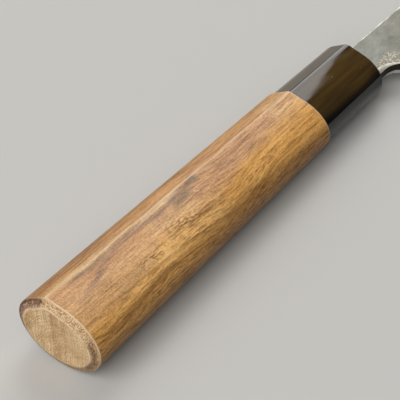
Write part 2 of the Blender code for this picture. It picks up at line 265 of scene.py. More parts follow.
@dataclass(frozen=True)
class Waviness:
    """The slow waviness that hand sanding leaves, with its depth and the length of its waves.

    It stays a little away from both ends of a surface, and calms down before them.
    """

    depth: float
    wavelength: tuple[float, float, float]
    still: tuple[float, float]
    calming: tuple[float, float]
    noise: Noise

    def draw_in(self, rows: np.ndarray, start: float, stop: float) -> None:
        """Draw a surface in towards the knife's X axis by depth * (1 + noise) / 2.

        Args:
            rows: its points, changed in place.
            start: where along the knife it starts.
            stop: where it ends.
        """
        x = rows[..., 0]
        amount = self.depth * (1 + self.noise.at(rows, self.wavelength)) / 2
        amount *= ease((x - start - self.still[0]) / self.calming[0])
        amount *= ease((stop - self.still[1] - x) / self.calming[1])
        rows[..., 1:] *= 1 - (amount / np.linalg.norm(rows[..., 1:], axis=-1))[..., None]


@dataclass(frozen=True)
class RubAndHighlight:
    """A pale line past an edge, from rubbing and painted highlight: its place, width and strength."""

    place: float
    width: float
    strength: float

    def at(self, distance: np.ndarray) -> np.ndarray:
        """The line at a distance from the edge: strength * exp(-((distance - place) / width) ^ 2)."""
        return self.strength * np.exp(-((distance - self.place) / self.width) ** 2)


@dataclass(frozen=True)
class Corner:
    """A corner of a profile: its place along the knife, its inset, and how far it is rounded."""

    x: float
    inset: float
    rounding: float = 0.0


def rounded_profile(corners: Sequence[Corner], spacing: float, arc_steps: int = 5) -> np.ndarray:
    """Straight runs between corners, each corner eased by a curve that leaves its runs as tangents.

    The curve is (1 - t)^2 start + 2t(1 - t) corner + t^2 end, where start and end lie the rounding's
    length from the corner.

    Args:
        corners: the corners in order.
        spacing: longest distance between two points of a run.
        arc_steps: steps in each rounded corner.

    Returns:
        Rows of x and inset.
    """
    spots = np.array([(corner.x, corner.inset) for corner in corners])
    pieces = [spots[:1]]
    for index in range(1, len(spots)):
        spot = spots[index]
        back = spots[index - 1] - spot
        last = index == len(spots) - 1
        rounding = 0.0 if last else corners[index].rounding
        arrival = spot + back / np.linalg.norm(back) * rounding
        run = arrival - pieces[-1][-1]
        steps = max(1, math.ceil(np.linalg.norm(run) / spacing))
        pieces.append(pieces[-1][-1] + run * np.linspace(0, 1, steps + 1)[1:, None])
        if rounding:
            ahead = spots[index + 1] - spot
            leaving = spot + ahead / np.linalg.norm(ahead) * rounding
            t = np.linspace(0, 1, arc_steps + 1)[1:, None]
            pieces.append((1 - t) ** 2 * arrival + 2 * t * (1 - t) * spot + t ** 2 * leaving)
    return np.concatenate(pieces)


def rows_at(x: np.ndarray | float, section: np.ndarray) -> np.ndarray:
    """Put sections (rows, columns, 2) of y and z at their places x along the knife."""
    place = np.broadcast_to(np.reshape(x, (-1, 1)), section.shape[:2])
    return np.concatenate([place[..., None], section], axis=-1)


def morph(start: np.ndarray, end: np.ndarray, steps: int) -> np.ndarray:
    """Rows between two rings, the second one included: start + (end - start) * share."""
    share = np.linspace(0, 1, steps + 1)[1:, None, None]
    return start + (end - start) * share


def ease(share: np.ndarray) -> np.ndarray:
    """A share kept between 0 and 1 that starts and stops gently: s * s * (3 - 2 s)."""
    share = np.clip(share, 0, 1)
    return share * share * (3 - 2 * share)


def divide(keys: Sequence[Pair], steps: Sequence[int]) -> np.ndarray:
    """Divide each side of a row of polygons evenly, the last side back to the first corner included.

    Args:
        keys: the corners, each as its y and z for all rows.
        steps: number of points on the side that starts at each corner.

    Returns:
        Sections (rows, columns, 2).
    """
    corners = np.stack([np.stack(np.broadcast_arrays(y, z), axis=-1) for y, z in keys], axis=1)
    following = np.roll(corners, -1, axis=1)
    sides = []
    for index, count in enumerate(steps):
        share = (np.arange(count) / count)[None, :, None]
        sides.append(corners[:, index, None] + (following - corners)[:, index, None] * share)
    return np.concatenate(sides, axis=1)


# The knife's sizes, in millimetres


@dataclass(frozen=True)
class HandleShape:
    """Outside that handle and ferrule share: an oval with a ridge, tapering evenly to the front."""

    length: float = 141.0
    wood_length: float = 110.0
    butt_height: float = 27.0
    butt_thickness: float = 20.6
    front_height: float = 22.3
    front_thickness: float = 16.2
    ridge_angle: float = math.radians(23)
    ridge_proud: float = 1.1
    ridge_rounding: float = 0.9
    bore_radius: float = 5.8
    tang_y: float = -1.2
    oval_steps: int = 200
    crest_steps: int = 16

    def outline(self, x: np.ndarray, inset: np.ndarray) -> np.ndarray:
        """Cross-sections: an oval, and a crest between the two tangents from the ridge to the oval.

        With the oval squeezed to a unit circle, a tangent from the ridge point at distance d leaves
        the circle at the angle acos(1 / d) from the ridge's own.

        Args:
            x: places along the handle.
            inset: how far each section lies inside the handle's outside.

        Returns:
            Sections (rows, columns, 2) of y and z.
        """
        x, inset = np.broadcast_arrays(np.atleast_1d(x), inset)
        share = x / self.length
        height = (self.butt_height + (self.front_height - self.butt_height) * share) / 2 - inset
        thickness = (self.butt_thickness + (self.front_thickness - self.butt_thickness) * share) / 2 - inset
        across, up = math.cos(self.ridge_angle), math.sin(self.ridge_angle)
        reach = self.ridge_proud + 1 / np.hypot(across / thickness, up / height)
        ridge = np.stack([reach * up, reach * across], axis=-1)
        half = np.stack([height, thickness], axis=-1)
        squeezed = ridge / half
        turn = np.arctan2(squeezed[:, 0], squeezed[:, 1])
        opening = np.arccos(1 / np.hypot(squeezed[:, 0], squeezed[:, 1]))
        step = np.linspace(0, 1, self.oval_steps)
        angle = (turn + opening)[:, None] + (2 * math.pi - 2 * opening)[:, None] * step
        oval = np.stack([np.sin(angle), np.cos(angle)], axis=-1) * half[:, None]
        lower, upper = oval[:, -1] - ridge, oval[:, 0] - ridge
        start = ridge + lower * self.ridge_rounding / np.linalg.norm(lower, axis=-1, keepdims=True)
        end = ridge + upper * self.ridge_rounding / np.linalg.norm(upper, axis=-1, keepdims=True)
        t = np.linspace(0, 1, self.crest_steps)[None, :, None]
        crest = (1 - t) ** 2 * start[:, None] + 2 * t * (1 - t) * ridge[:, None] + t ** 2 * end[:, None]
        return np.concatenate([oval, crest], axis=1)

    def angles(self, section: np.ndarray) -> np.ndarray:
        """Direction of each point of a section as seen from the tang's middle."""
        return np.arctan2(section[..., 1], section[..., 0] - self.tang_y)

    def circle(self, section: np.ndarray, radius: float) -> np.ndarray:
        """The round bore, with its points in the same directions as a section's."""
        angle = self.angles(section)
        return np.stack([self.tang_y + radius * np.cos(angle), radius * np.sin(angle)], axis=-1)


HANDLE = HandleShape()


@dataclass(frozen=True)
class BladeShape:
    """Neck, tang and single-bevel blade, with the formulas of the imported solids."""

    handle_length: float = 141.0
    reach: float = 270.0
    thickness: float = 4.0
    tip_thickness: float = 1.5
    neck_height: float = 13.1
    neck_drop: float = 1.2
    neck_straight: float = 4.0
    neck_radius: float = 7.8
    neck_rounding: float = 1.2
    neck_seat: float = 5.2
    shoulder_run: float = 0.6
    tang_length: float = 92.0
    tang_front: tuple[float, float] = (7.8, 3.4)
    tang_end: tuple[float, float] = (4.2, 2.2)
    tang_chamfer: float = 0.5
    heel_height: float = 33.0
    heel_lean: float = 0.8
    spine_drop: float = math.radians(0.9)
    spine_bow: float = 1.6
    spine_bow_power: float = 3.0
    spine_chamfer: float = 0.6
    edge_taper: float = 0.12
    edge_sweep: float = 5.2
    edge_land: float = 0.1
    heel_bevel: float = 18.0
    tip_bevel: float = 7.0
    tip_bluntness: float = 0.4
    layer_share: float = 0.30
    weld_gap: float = 0.04
    weld_lip: float = 0.10
    feather: float = 0.12
    scarf_start: float = 7.0
    scarf_length: float = 4.0
    hollow: float = 0.4
    hollow_start: float = 6.0
    hollow_run_in: float = 16.0
    hollow_stop: float = 12.0
    hollow_run_out: float = 50.0
    edge_rim: float = 1.2
    spine_rim: float = 1.8
    neck_stations: int = 34
    heel_stations: int = 7
    edge_stations: int = 260

    @property
    def shoulder_x(self) -> float:
        """Where the tang ends and the shoulders start."""
        return self.handle_length - self.neck_seat

    @property
    def tang_y(self) -> float:
        """Height of the tang's middle."""
        return -self.neck_drop

    @property
    def back_z(self) -> float:
        """The plane of the blade's left side."""
        return -self.thickness / 2

    @property
    def curve_x(self) -> float:
        """Where the neck's lower side starts to curve down into the heel."""
        return self.handle_length + self.neck_straight

    @property
    def heel_x(self) -> float:
        """Where the curve meets the heel."""
        return self.curve_x + self.neck_radius

    @property
    def corner_x(self) -> float:
        """The heel's lower corner, where the cutting edge starts."""
        return self.heel_x + self.heel_lean

    @property
    def tip_x(self) -> float:
        """The tip of the blade."""
        return self.handle_length + self.reach

    @property
    def scarf_x(self) -> float:
        """Where the hard-steel layer starts."""
        return self.heel_x - self.scarf_start

    def share(self, x: np.ndarray) -> np.ndarray:
        """How far along the blade x lies: 0 at the heel's corner and 1 at the tip."""
        return np.clip((x - self.corner_x) / (self.tip_x - self.corner_x), 0, 1)

    def spine_y(self, x: np.ndarray) -> np.ndarray:
        """The spine: it drops evenly from the handle, and bows down with a power of the share.

        Args:
            x: places along the blade.

        Returns:
            Its height at each place.
        """
        drop = math.tan(self.spine_drop) * (x - self.handle_length)
        bow = self.spine_bow * self.share(x) ** self.spine_bow_power
        return self.tang_y + self.neck_height / 2 - drop - bow

    def edge_y(self, x: np.ndarray) -> np.ndarray:
        """The edge: spine - height * (1 - taper * share) * (1 - share ^ sweep).

        Args:
            x: places along the blade.

        Returns:
            Its height at each place.
        """
        share = self.share(x)
        depth = self.heel_height * (1 - self.edge_taper * share) * (1 - share ** self.edge_sweep)
        return self.spine_y(x) - depth

    def lower_y(self, x: np.ndarray) -> np.ndarray:
        """The lower side: the neck, a quarter round into the heel, the heel and the edge.

        Args:
            x: places along the blade.

        Returns:
            Its height at each place.
        """
        neck = self.spine_y(x) - self.neck_height
        run = np.clip(x - self.curve_x, 0, self.neck_radius)
        arc = self.spine_y(self.curve_x) - self.neck_height - self.neck_radius
        arc = arc + np.sqrt(self.neck_radius ** 2 - run ** 2)
        lean = np.clip((x - self.heel_x) / self.heel_lean, 0, 1)
        heel = arc + (self.edge_y(np.array(self.corner_x)) - arc) * lean
        return np.where(x >= self.corner_x, self.edge_y(x), np.where(x <= self.curve_x, neck, heel))

    def flat_z(self, x: np.ndarray) -> np.ndarray:
        """The right-hand flat, which closes in on the back towards the tip."""
        return self.back_z + self.thickness + (self.tip_thickness - self.thickness) * self.share(x)

    def bevel_width(self, x: np.ndarray) -> np.ndarray:
        """Width of the bevel, from the edge up to the shinogi line."""
        return self.heel_bevel + (self.tip_bevel - self.heel_bevel) * self.share(x)

    def bevel_rise(self, x: np.ndarray) -> np.ndarray:
        """Steepness of the bevel, from the edge's land to the flat."""
        return (self.flat_z(x) - self.back_z - self.edge_land) / self.bevel_width(x)

    def face_z(self, x: np.ndarray, y: np.ndarray) -> np.ndarray:
        """The right-hand face: the bevel up to the shinogi line and the flat above it."""
        bevel = self.back_z + self.edge_land + self.bevel_rise(x) * (y - self.edge_y(x))
        return np.minimum(self.flat_z(x), bevel)

    def bevel_y(self, x: np.ndarray, z: np.ndarray) -> np.ndarray:
        """Height at which the bevel has risen to z, but never above the spine."""
        height = self.edge_y(x) + (z - self.back_z - self.edge_land) / self.bevel_rise(x)
        return np.minimum(self.spine_y(x), height)

    def layer_z(self, x: np.ndarray) -> np.ndarray:
        """Upper side of the hard steel, with the scarf that starts it.

        Args:
            x: places along the blade.

        Returns:
            Its z at each place.
        """
        full = self.layer_share * (self.flat_z(x) - self.back_z)
        rise = np.clip((x - self.scarf_x) / self.scarf_length, 0, 1)
        return self.back_z + self.weld_lip + (full - self.weld_lip) * rise

    def hollow_depth(self, x: np.ndarray) -> np.ndarray:
        """Depth of the hollow grind, eased in past the heel and out before the tip.

        Args:
            x: places along the blade.

        Returns:
            The depth half way between its rims, at each place.
        """
        run_in = ease((x - self.corner_x - self.hollow_start) / self.hollow_run_in)
        run_out = ease((self.tip_x - self.hollow_stop - x) / self.hollow_run_out)
        return self.hollow * run_in * run_out

    def stations(self, start: float) -> np.ndarray:
        """Places along the blade from start to the tip, closer together at the neck and the tip.

        Args:
            start: the first place.

        Returns:
            The places in order.
        """
        neck = np.linspace(start, self.heel_x, self.neck_stations)
        heel = np.linspace(self.heel_x, self.corner_x, self.heel_stations)
        last = self.tip_x - self.tip_bluntness
        run = np.sin(np.linspace(0, math.pi / 2, self.edge_stations))
        return np.unique(np.concatenate([neck, heel, self.corner_x + (last - self.corner_x) * run]).round(6))


BLADE = BladeShape()


# Node trees


# Sockets of a Mix node that mixes colours: the two that it reads, and the one that it puts out
MIX_FIRST, MIX_SECOND, MIX_RESULT = 6, 7, 2


class Graph:
    """Adds nodes to one node tree. Most methods return the new node's main output."""

    def __init__(self, tree: bpy.types.NodeTree) -> None:
        """Keep the tree that the nodes go into."""
        self.tree = tree

    def node(self, kind: str, inputs: Inputs = (), **settings: object) -> bpy.types.Node:
        """Add a node.

        Args:
            kind: the node's type.
            inputs: its inputs, in their order or by name or number.
            settings: its other settings, by name.

        Returns:
            The new node.
        """
        made = self.tree.nodes.new(kind)
        for name, value in settings.items():
            setattr(made, name, value)
        self.fill(made, inputs)
        return made

    def fill(self, node: bpy.types.Node, inputs: Inputs) -> None:
        """Feed a node's inputs, in their order or by name or number."""
        for key, value in inputs.items() if isinstance(inputs, dict) else enumerate(inputs):
            self.feed(node.inputs[key], value)

    def feed(self, socket: Socket, value: Value) -> None:
        """Link an output into a socket, or set the socket's own value.

        Args:
            socket: the input.
            value: an output, a number or a row of numbers.
        """
        if isinstance(value, Socket):
            self.tree.links.new(value, socket)
        else:
            socket.default_value = value

    def math(self, operation: str, *values: Value) -> Socket:
        """A Math node."""
        return self.node("ShaderNodeMath", values, operation=operation).outputs[0]

    def minus(self, first: Value, second: Value) -> Socket:
        """The first value less the second."""
        return self.math("SUBTRACT", first, second)

    def apart(self, first: Value, second: Value) -> Socket:
        """How far two values lie from each other."""
        return self.math("ABSOLUTE", self.minus(first, second))

    def product(self, *values: Value) -> Socket:
        """All values multiplied.

        Args:
            values: outputs and numbers.

        Returns:
            Their product.
        """
        value = values[0]
        for following in values[1:]:
            value = self.math("MULTIPLY", value, following)
        return value

    def total(self, start: float | Socket, *parts: tuple[Socket, float, float]) -> Socket:
        """A starting value plus each part's distance from its middle, times its weight.

        Args:
            start: the starting value.
            parts: outputs, each with its middle and weight.

        Returns:
            The sum.
        """
        value: Value = start
        for source, middle, weight in parts:
            value = self.math("MULTIPLY_ADD", self.minus(source, middle), weight, value)
        return value

    def vector(self, operation: str, *values: Value) -> Socket:
        """A Vector Math node that gives a vector."""
        return self.node("ShaderNodeVectorMath", values, operation=operation).outputs["Vector"]

    def split(self, vector: Socket) -> tuple[Socket, ...]:
        """The three parts of a vector."""
        return tuple(self.node("ShaderNodeSeparateXYZ", (vector,)).outputs)

    def join(self, x: Value, y: Value, z: Value) -> Socket:
        """A vector from its three parts."""
        return self.node("ShaderNodeCombineXYZ", (x, y, z)).outputs[0]

    def noise(self, place: Socket, scale: Value, detail: float = 2.0, roughness: float = 0.5) -> Socket:
        """Noise about 0.5, at a place that is first multiplied by a scale for each axis.

        Args:
            place: where to read it, in millimetres.
            scale: how fine it is along each axis.
            detail: how many finer layers lie on it.
            roughness: how strong these are.

        Returns:
            Its value.
        """
        scaled = self.vector("MULTIPLY", place, scale)
        inputs = {"Vector": scaled, "Scale": 1.0, "Detail": detail, "Roughness": roughness}
        return self.node("ShaderNodeTexNoise", inputs).outputs[0]

    def remap(self, value: Value, low: Value, high: Value, start: float = 0.0, stop: float = 1.0) -> Socket:
        """Ease a value's way from low to high into one from start to stop."""
        inputs = (value, low, high, start, stop)
        return self.node("ShaderNodeMapRange", inputs, interpolation_type="SMOOTHSTEP").outputs[0]

    def mix(self, share: Value, first: Value, second: Value, blend: str = "MIX") -> Socket:
        """Mix two colours.

        Args:
            share: how far to go from the first colour to the second.
            first: the first colour.
            second: the second colour.
            blend: how the second is laid on the first.

        Returns:
            The mixed colour.
        """
        inputs = {0: share, MIX_FIRST: opaque(first), MIX_SECOND: opaque(second)}
        made = self.node("ShaderNodeMix", inputs, data_type="RGBA", blend_type=blend, clamp_factor=True)
        return made.outputs[MIX_RESULT]

    def ramp(self, value: Socket, stops: Sequence[tuple[float, Colour]]) -> Socket:
        """A colour ramp through the given stops.

        Args:
            value: the place to read.
            stops: places from 0 to 1, with their colours.

        Returns:
            The colour there.
        """
        made = self.node("ShaderNodeValToRGB", (value,))
        elements = made.color_ramp.elements
        while len(elements) < len(stops):
            elements.new(1.0)
        for element, (place, colour) in zip(elements, stops):
            element.position = place
            element.color = opaque(colour)
        return made.outputs[0]

    def curve(self, value: Value, knots: Knots) -> Socket:
        """The height, at a value, of a smooth line through knots, level before the first and past the last.

        Args:
            value: the place to read.
            knots: the points that the line goes through.

        Returns:
            The height there.
        """
        spots = np.array(knots, float)
        low, span = spots.min(0), np.maximum(np.ptp(spots, axis=0), 0.01)
        made = self.node("ShaderNodeFloatCurve")
        made.mapping.extend = "HORIZONTAL"
        line = made.mapping.curves[0]
        shares = (spots - low) / span
        line.points[0].location, line.points[1].location = shares[0], shares[-1]
        for share in shares[1:-1]:
            line.points.new(*share)
        made.mapping.update()
        self.feed(made.inputs["Value"], self.math("DIVIDE", self.minus(value, low[0]), span[0]))
        return self.math("MULTIPLY_ADD", made.outputs[0], span[1], low[1])

    def shade(self, colour: Value, level: Socket, warmth: float = 0.5) -> Socket:
        """A colour at a level about 1: red follows it, green and blue more strongly, as wood does."""
        powers = [self.math("POWER", level, 1 + warmth * part) for part in (0.0, 0.5, 1.0)]
        return self.mix(1.0, colour, self.join(*powers), "MULTIPLY")

    def bump(self, height: Socket, depth: float, strength: float) -> Socket:
        """A Bump node: a height of 1 stands depth millimetres proud."""
        inputs = {"Strength": strength, "Distance": depth * MM, "Height": height}
        return self.node("ShaderNodeBump", inputs).outputs[0]

    def mask(self, name: str) -> Socket:
        """A value that the mesh holds at its points."""
        return self.node("ShaderNodeAttribute", attribute_name=name).outputs["Fac"]

    def place(self, group: bpy.types.NodeTree, **values: Value) -> bpy.types.NodeOutputs:
        """Place a node group with its values, and return its outputs."""
        inputs = {name.capitalize(): value for name, value in values.items()}
        return self.node("ShaderNodeGroup", inputs, node_tree=group).outputs


class Group(Graph):
    """A node group as it is made: its inputs are read from given, and finish feeds its outputs."""

    def __init__(self, name: str, inputs: dict[str, float | Sequence[float]]) -> None:
        """Start the group.

        Args:
            name: the group's name.
            inputs: each input's name and starting value, a number or three numbers.
        """
        super().__init__(bpy.data.node_groups.new(name, "ShaderNodeTree"))
        for label, value in inputs.items():
            kind = "NodeSocketFloat" if isinstance(value, float) else "NodeSocketVector"
            self.tree.interface.new_socket(label, in_out="INPUT", socket_type=kind).default_value = value
        self.given = self.node("NodeGroupInput").outputs

    def finish(self, outputs: dict[str, Socket], kind: str = "NodeSocketFloat") -> bpy.types.NodeTree:
        """Give the group its outputs, all of one kind.

        Args:
            outputs: each output's name and what feeds it.
            kind: the outputs' type.

        Returns:
            The group's tree.
        """
        for label in outputs:
            self.tree.interface.new_socket(label, in_out="OUTPUT", socket_type=kind)
        self.node("NodeGroupOutput", outputs)
        return self.tree


def opaque(colour: Value) -> Value:
    """A colour of three parts with full alpha; a socket stays as it is."""
    return colour if isinstance(colour, Socket) else (*colour, 1.0)


def srgb(red: float, green: float, blue: float) -> Colour:
    """A colour given on the 0 to 255 display scale, as linear light."""
    shares = np.array([red, green, blue]) / 255
    return tuple(np.where(shares <= 0.04045, shares / 12.92, ((shares + 0.055) / 1.055) ** 2.4).tolist())


class Effects:
    """The finishes' shader node groups, each built once."""

    def __init__(self, pose: KnifePose) -> None:
        """Build every group.

        Args:
            pose: the knife's place in the world.
        """
        self.knife_place = self.build_knife_place(pose)
        self.wood_figure = self.build_wood_figure()
        self.speckle = self.build_speckle()
        self.grind = self.build_grind()

    def build_knife_place(self, pose: KnifePose) -> bpy.types.NodeTree:
        """Object coordinates taken back to the knife's own frame, in millimetres.

        Args:
            pose: the knife's place in the world.

        Returns:
            The group.
        """
        group = Group("knife_place", {})
        source = group.node("ShaderNodeTexCoord").outputs["Object"]
        inputs = {"Vector": source, "Location": tuple(pose.origin), "Rotation": pose.euler(),
                  "Scale": (MM, MM, MM)}
        mapping = group.node("ShaderNodeMapping", inputs, vector_type="TEXTURE")
        return group.finish({"Place": mapping.outputs[0]}, "NodeSocketVector")

    def build_wood_figure(self) -> bpy.types.NodeTree:
        """Growth rings, streaks, lines, fibres, grit and pores of wood whose grain runs along +X.

        The grain sways by about Sway millimetres and calms down before Settled. Lines lie where a slow
        noise crosses its middle, pores are short dashes that come in crowds, and dots are rounder ones.

        Returns:
            The group.
        """
        group = Group("wood_figure", {"Place": (0.0, 0.0, 0.0), "Tilt": 0.09, "Sway": 1.2, "Settled": 90.0,
                                      "Pore": 2.6, "Calming": 25.0})
        given = group.given
        place = given["Place"]
        x, y, z = group.split(place)
        settling = group.minus(given["Settled"], given["Calming"])
        reach = group.product(group.remap(x, settling, given["Settled"], 1.0, 0.2), given["Sway"], 8.0)
        slow = group.noise(place, (0.020, 0.05, 0.05), detail=0.0)
        sway = group.product(group.minus(slow, 0.5), reach)
        ring = group.math("ADD", group.minus(y, group.product(z, given["Tilt"])), sway)
        grain = group.join(x, ring, z)
        crossing = group.apart(group.noise(grain, (0.008, 0.75, 0.12), detail=0.5), 0.5)
        shown = group.remap(group.noise(grain, (0.03, 0.35, 0.15), detail=0.0), 0.42, 0.60)
        crowd = group.remap(group.noise(grain, (0.035, 0.25, 0.14), detail=0.0), 0.42, 0.62)
        pores = group.join(group.math("DIVIDE", x, given["Pore"]), group.product(ring, 2.8),
                           group.product(z, 2.8))
        dashes = group.remap(group.noise(pores, (1.0, 1.0, 1.0), detail=0.0), 0.58, 0.67)
        return group.finish({
            "Rings": group.noise(grain, (0.010, 0.36, 0.10), detail=1.0),
            "Streaks": group.noise(grain, (0.022, 1.05, 0.40), detail=1.5, roughness=0.6),
            "Lines": group.product(group.remap(crossing, 0.0, 0.030, 1.0, 0.0), shown),
            "Fibres": group.noise(grain, (0.15, 2.0, 2.0), detail=1.5, roughness=0.7),
            "Grit": group.noise(place, (2.1, 1.6, 1.6), detail=2.5, roughness=0.85),
            "Pores": group.product(dashes, crowd),
            "Dots": group.remap(group.noise(pores, (2.0, 1.2, 1.2), detail=0.0), 0.55, 0.64),
        })

    def build_speckle(self) -> bpy.types.NodeTree:
        """Small separate specks of dust: round the middle of a cell, and only in a share of the cells.

        Returns:
            The group.
        """
        group = Group("speckle", {"Place": (0.0, 0.0, 0.0), "Spacing": 1.0, "Size": 0.16, "Amount": 0.5})
        spacing = group.given["Spacing"]
        scaled = group.vector("DIVIDE", group.given["Place"], group.join(spacing, spacing, spacing))
        cells = group.node("ShaderNodeTexVoronoi", {"Vector": scaled, "Scale": 1.0}, feature="F1").outputs
        near = group.math("LESS_THAN", cells["Distance"], group.given["Size"])
        kept = group.math("LESS_THAN", group.split(cells["Color"])[0], group.given["Amount"])
        return group.finish({"Specks": group.product(near, kept)})

    def build_grind(self) -> bpy.types.NodeTree:
        """Fine parallel grinding lines, at an angle to the blade in the plane of its face.

        Returns:
            The group.
        """
        group = Group("grind", {"Place": (0.0, 0.0, 0.0), "Angle": 0.0, "Fineness": 6.0, "Length": 12.0})
        given = group.given
        inputs = {"Vector": given["Place"], "Angle": given["Angle"]}
        turned = group.node("ShaderNodeVectorRotate", inputs, rotation_type="Z_AXIS")
        x, y, z = group.split(turned.outputs[0])
        stretched = group.join(group.math("DIVIDE", x, given["Length"]), group.product(y, given["Fineness"]), z)
        return group.finish({"Lines": group.noise(stretched, (1.0, 1.0, 1.0), detail=3.0, roughness=0.7)})


EFFECTS = Effects(POSE)


def new_material(name: str) -> tuple[bpy.types.Material, Graph, bpy.types.Node]:
    """Make an empty Principled material.

    Args:
        name: the material's name.

    Returns:
        The material, its graph and its shader.
    """
    material = bpy.data.materials.new(name)
    material.use_nodes = True
    return material, Graph(material.node_tree), material.node_tree.nodes["Principled BSDF"]


# Finishes


class Cut(Enum):
    """Which way a face of the wood was cut."""

    SIDE = "side"
    END = "end"
    CHAMFER = "chamfer"


@dataclass(frozen=True)
class Band:
    """A band of the wood along a line through knots of x and y.

    Softness is the share of the half width over which its sides fade, and fade the length of its ends.
    """

    knots: Knots
    half_width: float
    softness: float
    fade: float

    def mask(self, graph: Graph, x: Socket, y: Socket) -> Socket:
        """How far a place belongs to the band: 1 on its line, easing out to its sides and past its ends.

        Args:
            graph: the material's graph.
            x: the place along the knife.
            y: the height on it.

        Returns:
            The share.
        """
        away = graph.apart(y, graph.curve(x, self.knots))
        soft = self.half_width * self.softness
        across = graph.remap(away, self.half_width - soft, self.half_width + soft, 1.0, 0.0)
        start, stop = self.knots[0][0], self.knots[-1][0]
        return graph.product(across, graph.remap(x, start - self.fade, start),
                             graph.remap(x, stop, stop + self.fade, 1.0, 0.0))


@dataclass(frozen=True)
class Streak(Band):
    """A band with its own tone, and the share of that tone in it."""

    tone: Colour
    share: float


@dataclass(frozen=True)
class Surface:
    """What a cut of the wood gives its material: colour, roughness, and a height of so many millimetres."""

    colour: Socket
    roughness: Value
    height: Socket
    depth: float


@dataclass(frozen=True)
class Walnut:
    """Satin walnut: a rosy brown heart between golden outer wood, with streaks, lines and open pores."""

    cut: Cut
    golden: Colour = srgb(214, 156, 84)
    rosy: Colour = srgb(200, 147, 94)
    cream: Colour = srgb(222, 184, 132)
    mauve: Colour = srgb(150, 108, 82)
    smoke: Colour = srgb(136, 107, 78)
    brown: Colour = srgb(130, 84, 42)
    pore: Colour = srgb(78, 48, 26)
    # Pale tones: rubbing with painted highlight, and painted light
    worn_and_highlight: Colour = srgb(236, 208, 168)
    painted_glow: Colour = srgb(240, 196, 136)
    end_tone: Colour = srgb(214, 178, 132)
    # The chamfer's own tones: rasped grains, its spine side, the flakes there and painted shade at its lower
    # end
    rasped: tuple[tuple[float, Colour], ...] = (
        (0.34, srgb(118, 80, 46)), (0.49, srgb(196, 154, 106)), (0.62, srgb(238, 210, 168)))
    spine_inside: Colour = srgb(168, 140, 136)
    spine_outside: Colour = srgb(102, 74, 62)
    flake: Colour = srgb(232, 212, 200)
    lower_end_shade_tone: Colour = srgb(146, 122, 116)
    satin: float = 0.43
    sawn: float = 0.6
    rough: float = 0.62
    specular_level: float = 0.42
    worn_and_highlight_share: float = 0.9
    relief: float = 0.7
    # The lower border of the heart, where it meets the golden wood
    heart_line: Knots = (
        (0.0, -8.9), (14.0, -9.0), (25.0, -8.2), (30.0, -7.3), (34.0, -5.7), (41.0, -3.6), (52.0, -5.2),
        (63.0, -5.6), (74.0, -3.6), (85.0, -1.8), (96.0, -0.4), (110.0, 0.6))
    marks: tuple[Streak, ...] = (
        # Painted light: the golden wood is paler behind the middle, and in two painted lights at the front
        Streak(((0.0, -4.8), (16.0, -5.6), (34.0, -6.6), (48.0, -6.2), (58.0, -6.8)),
               3.2, 0.8, 9.0, painted_glow, 0.34),
        Streak(((100.0, 5.5), (112.0, 5.2)), 1.3, 0.8, 4.0, painted_glow, 0.6),
        Streak(((100.0, 1.0), (112.0, 0.8)), 1.2, 0.8, 5.0, painted_glow, 0.6),
        # Painted light in the middle, painted shade in front of it and painted light near the butt
        Streak(((40.0, -0.2), (46.0, -1.2), (52.0, -2.2)), 2.2, 0.8, 5.0, painted_glow, 0.34),
        Streak(((82.0, -1.8), (92.0, -2.2), (102.0, -2.8)), 1.8, 0.9, 4.0, brown, 0.35),
        Streak(((6.0, 0.4), (18.0, -1.8), (30.0, -2.6)), 1.7, 1.0, 6.0, painted_glow, 0.25),
        # A brown band low on the side
        Streak(((60.0, -9.8), (66.0, -9.7), (74.0, -9.6)), 1.2, 0.8, 6.0, brown, 0.45),
        # The pale streak by the ridge, over a smoky one, and the mauve curl below both
        Streak(((12.0, 3.7), (18.0, 3.2), (26.0, 3.1), (32.0, 2.9), (38.0, 2.4), (46.0, 2.1)),
               0.9, 0.9, 6.0, smoke, 0.6),
        Streak(((0.0, 5.6), (8.0, 5.4), (13.0, 5.0), (18.0, 4.6), (26.0, 4.5), (35.0, 3.9), (42.0, 3.4),
                (52.0, 3.7)), 0.95, 0.5, 8.0, cream, 0.85),
        Streak(((9.0, -2.0), (14.0, -1.0), (18.0, 0.3), (24.0, 2.0), (29.0, 2.8), (34.0, 3.0), (38.0, 2.6),
                (46.0, 1.5)), 0.8, 1.0, 5.0, mauve, 0.75),
        # The smudge in front of the pale streak
        Streak(((50.5, 1.5), (54.0, 1.7), (58.0, 2.3), (61.5, 3.1)), 1.6, 0.6, 3.0, smoke, 1.0),
    )
    fleck: Streak = Streak(((57.9, 0.0), (58.3, -0.5), (58.9, -0.8)), 0.16, 0.5, 0.3, worn_and_highlight, 0.9)
    # Where small dark dots crowd
    clusters: tuple[Band, ...] = (
        Band(((42.0, -3.0), (47.0, -4.6), (52.0, -5.9)), 1.5, 0.8, 3.0),
        Band(((28.0, -6.0), (36.0, -6.2)), 1.1, 0.8, 3.0),
    )
    pore_share: float = 0.65
    # How light each growth ring of the butt is, from the edge side to the spine
    end_bands: Knots = (
        (-12.0, 1.04), (-6.0, 1.04), (-3.5, 1.03), (-2.9, 0.92), (-2.5, 1.0), (-1.6, 0.98), (-0.8, 0.92),
        (0.2, 0.88), (1.2, 0.84), (1.6, 1.04), (5.0, 1.05), (8.0, 1.0), (10.0, 0.90), (11.0, 0.80))
    # The middle of the stain on the butt face, as y and z
    stain: tuple[float, float] = (9.3, -1.2)

    def material(self) -> bpy.types.Material:
        """Build the finish for its cut.

        Returns:
            The material.
        """
        material, graph, shader = new_material(f"walnut_{self.cut.value}")
        place = graph.place(EFFECTS.knife_place)["Place"]
        surface = {Cut.SIDE: self.side, Cut.END: self.end, Cut.CHAMFER: self.chamfer}[self.cut](graph, place)
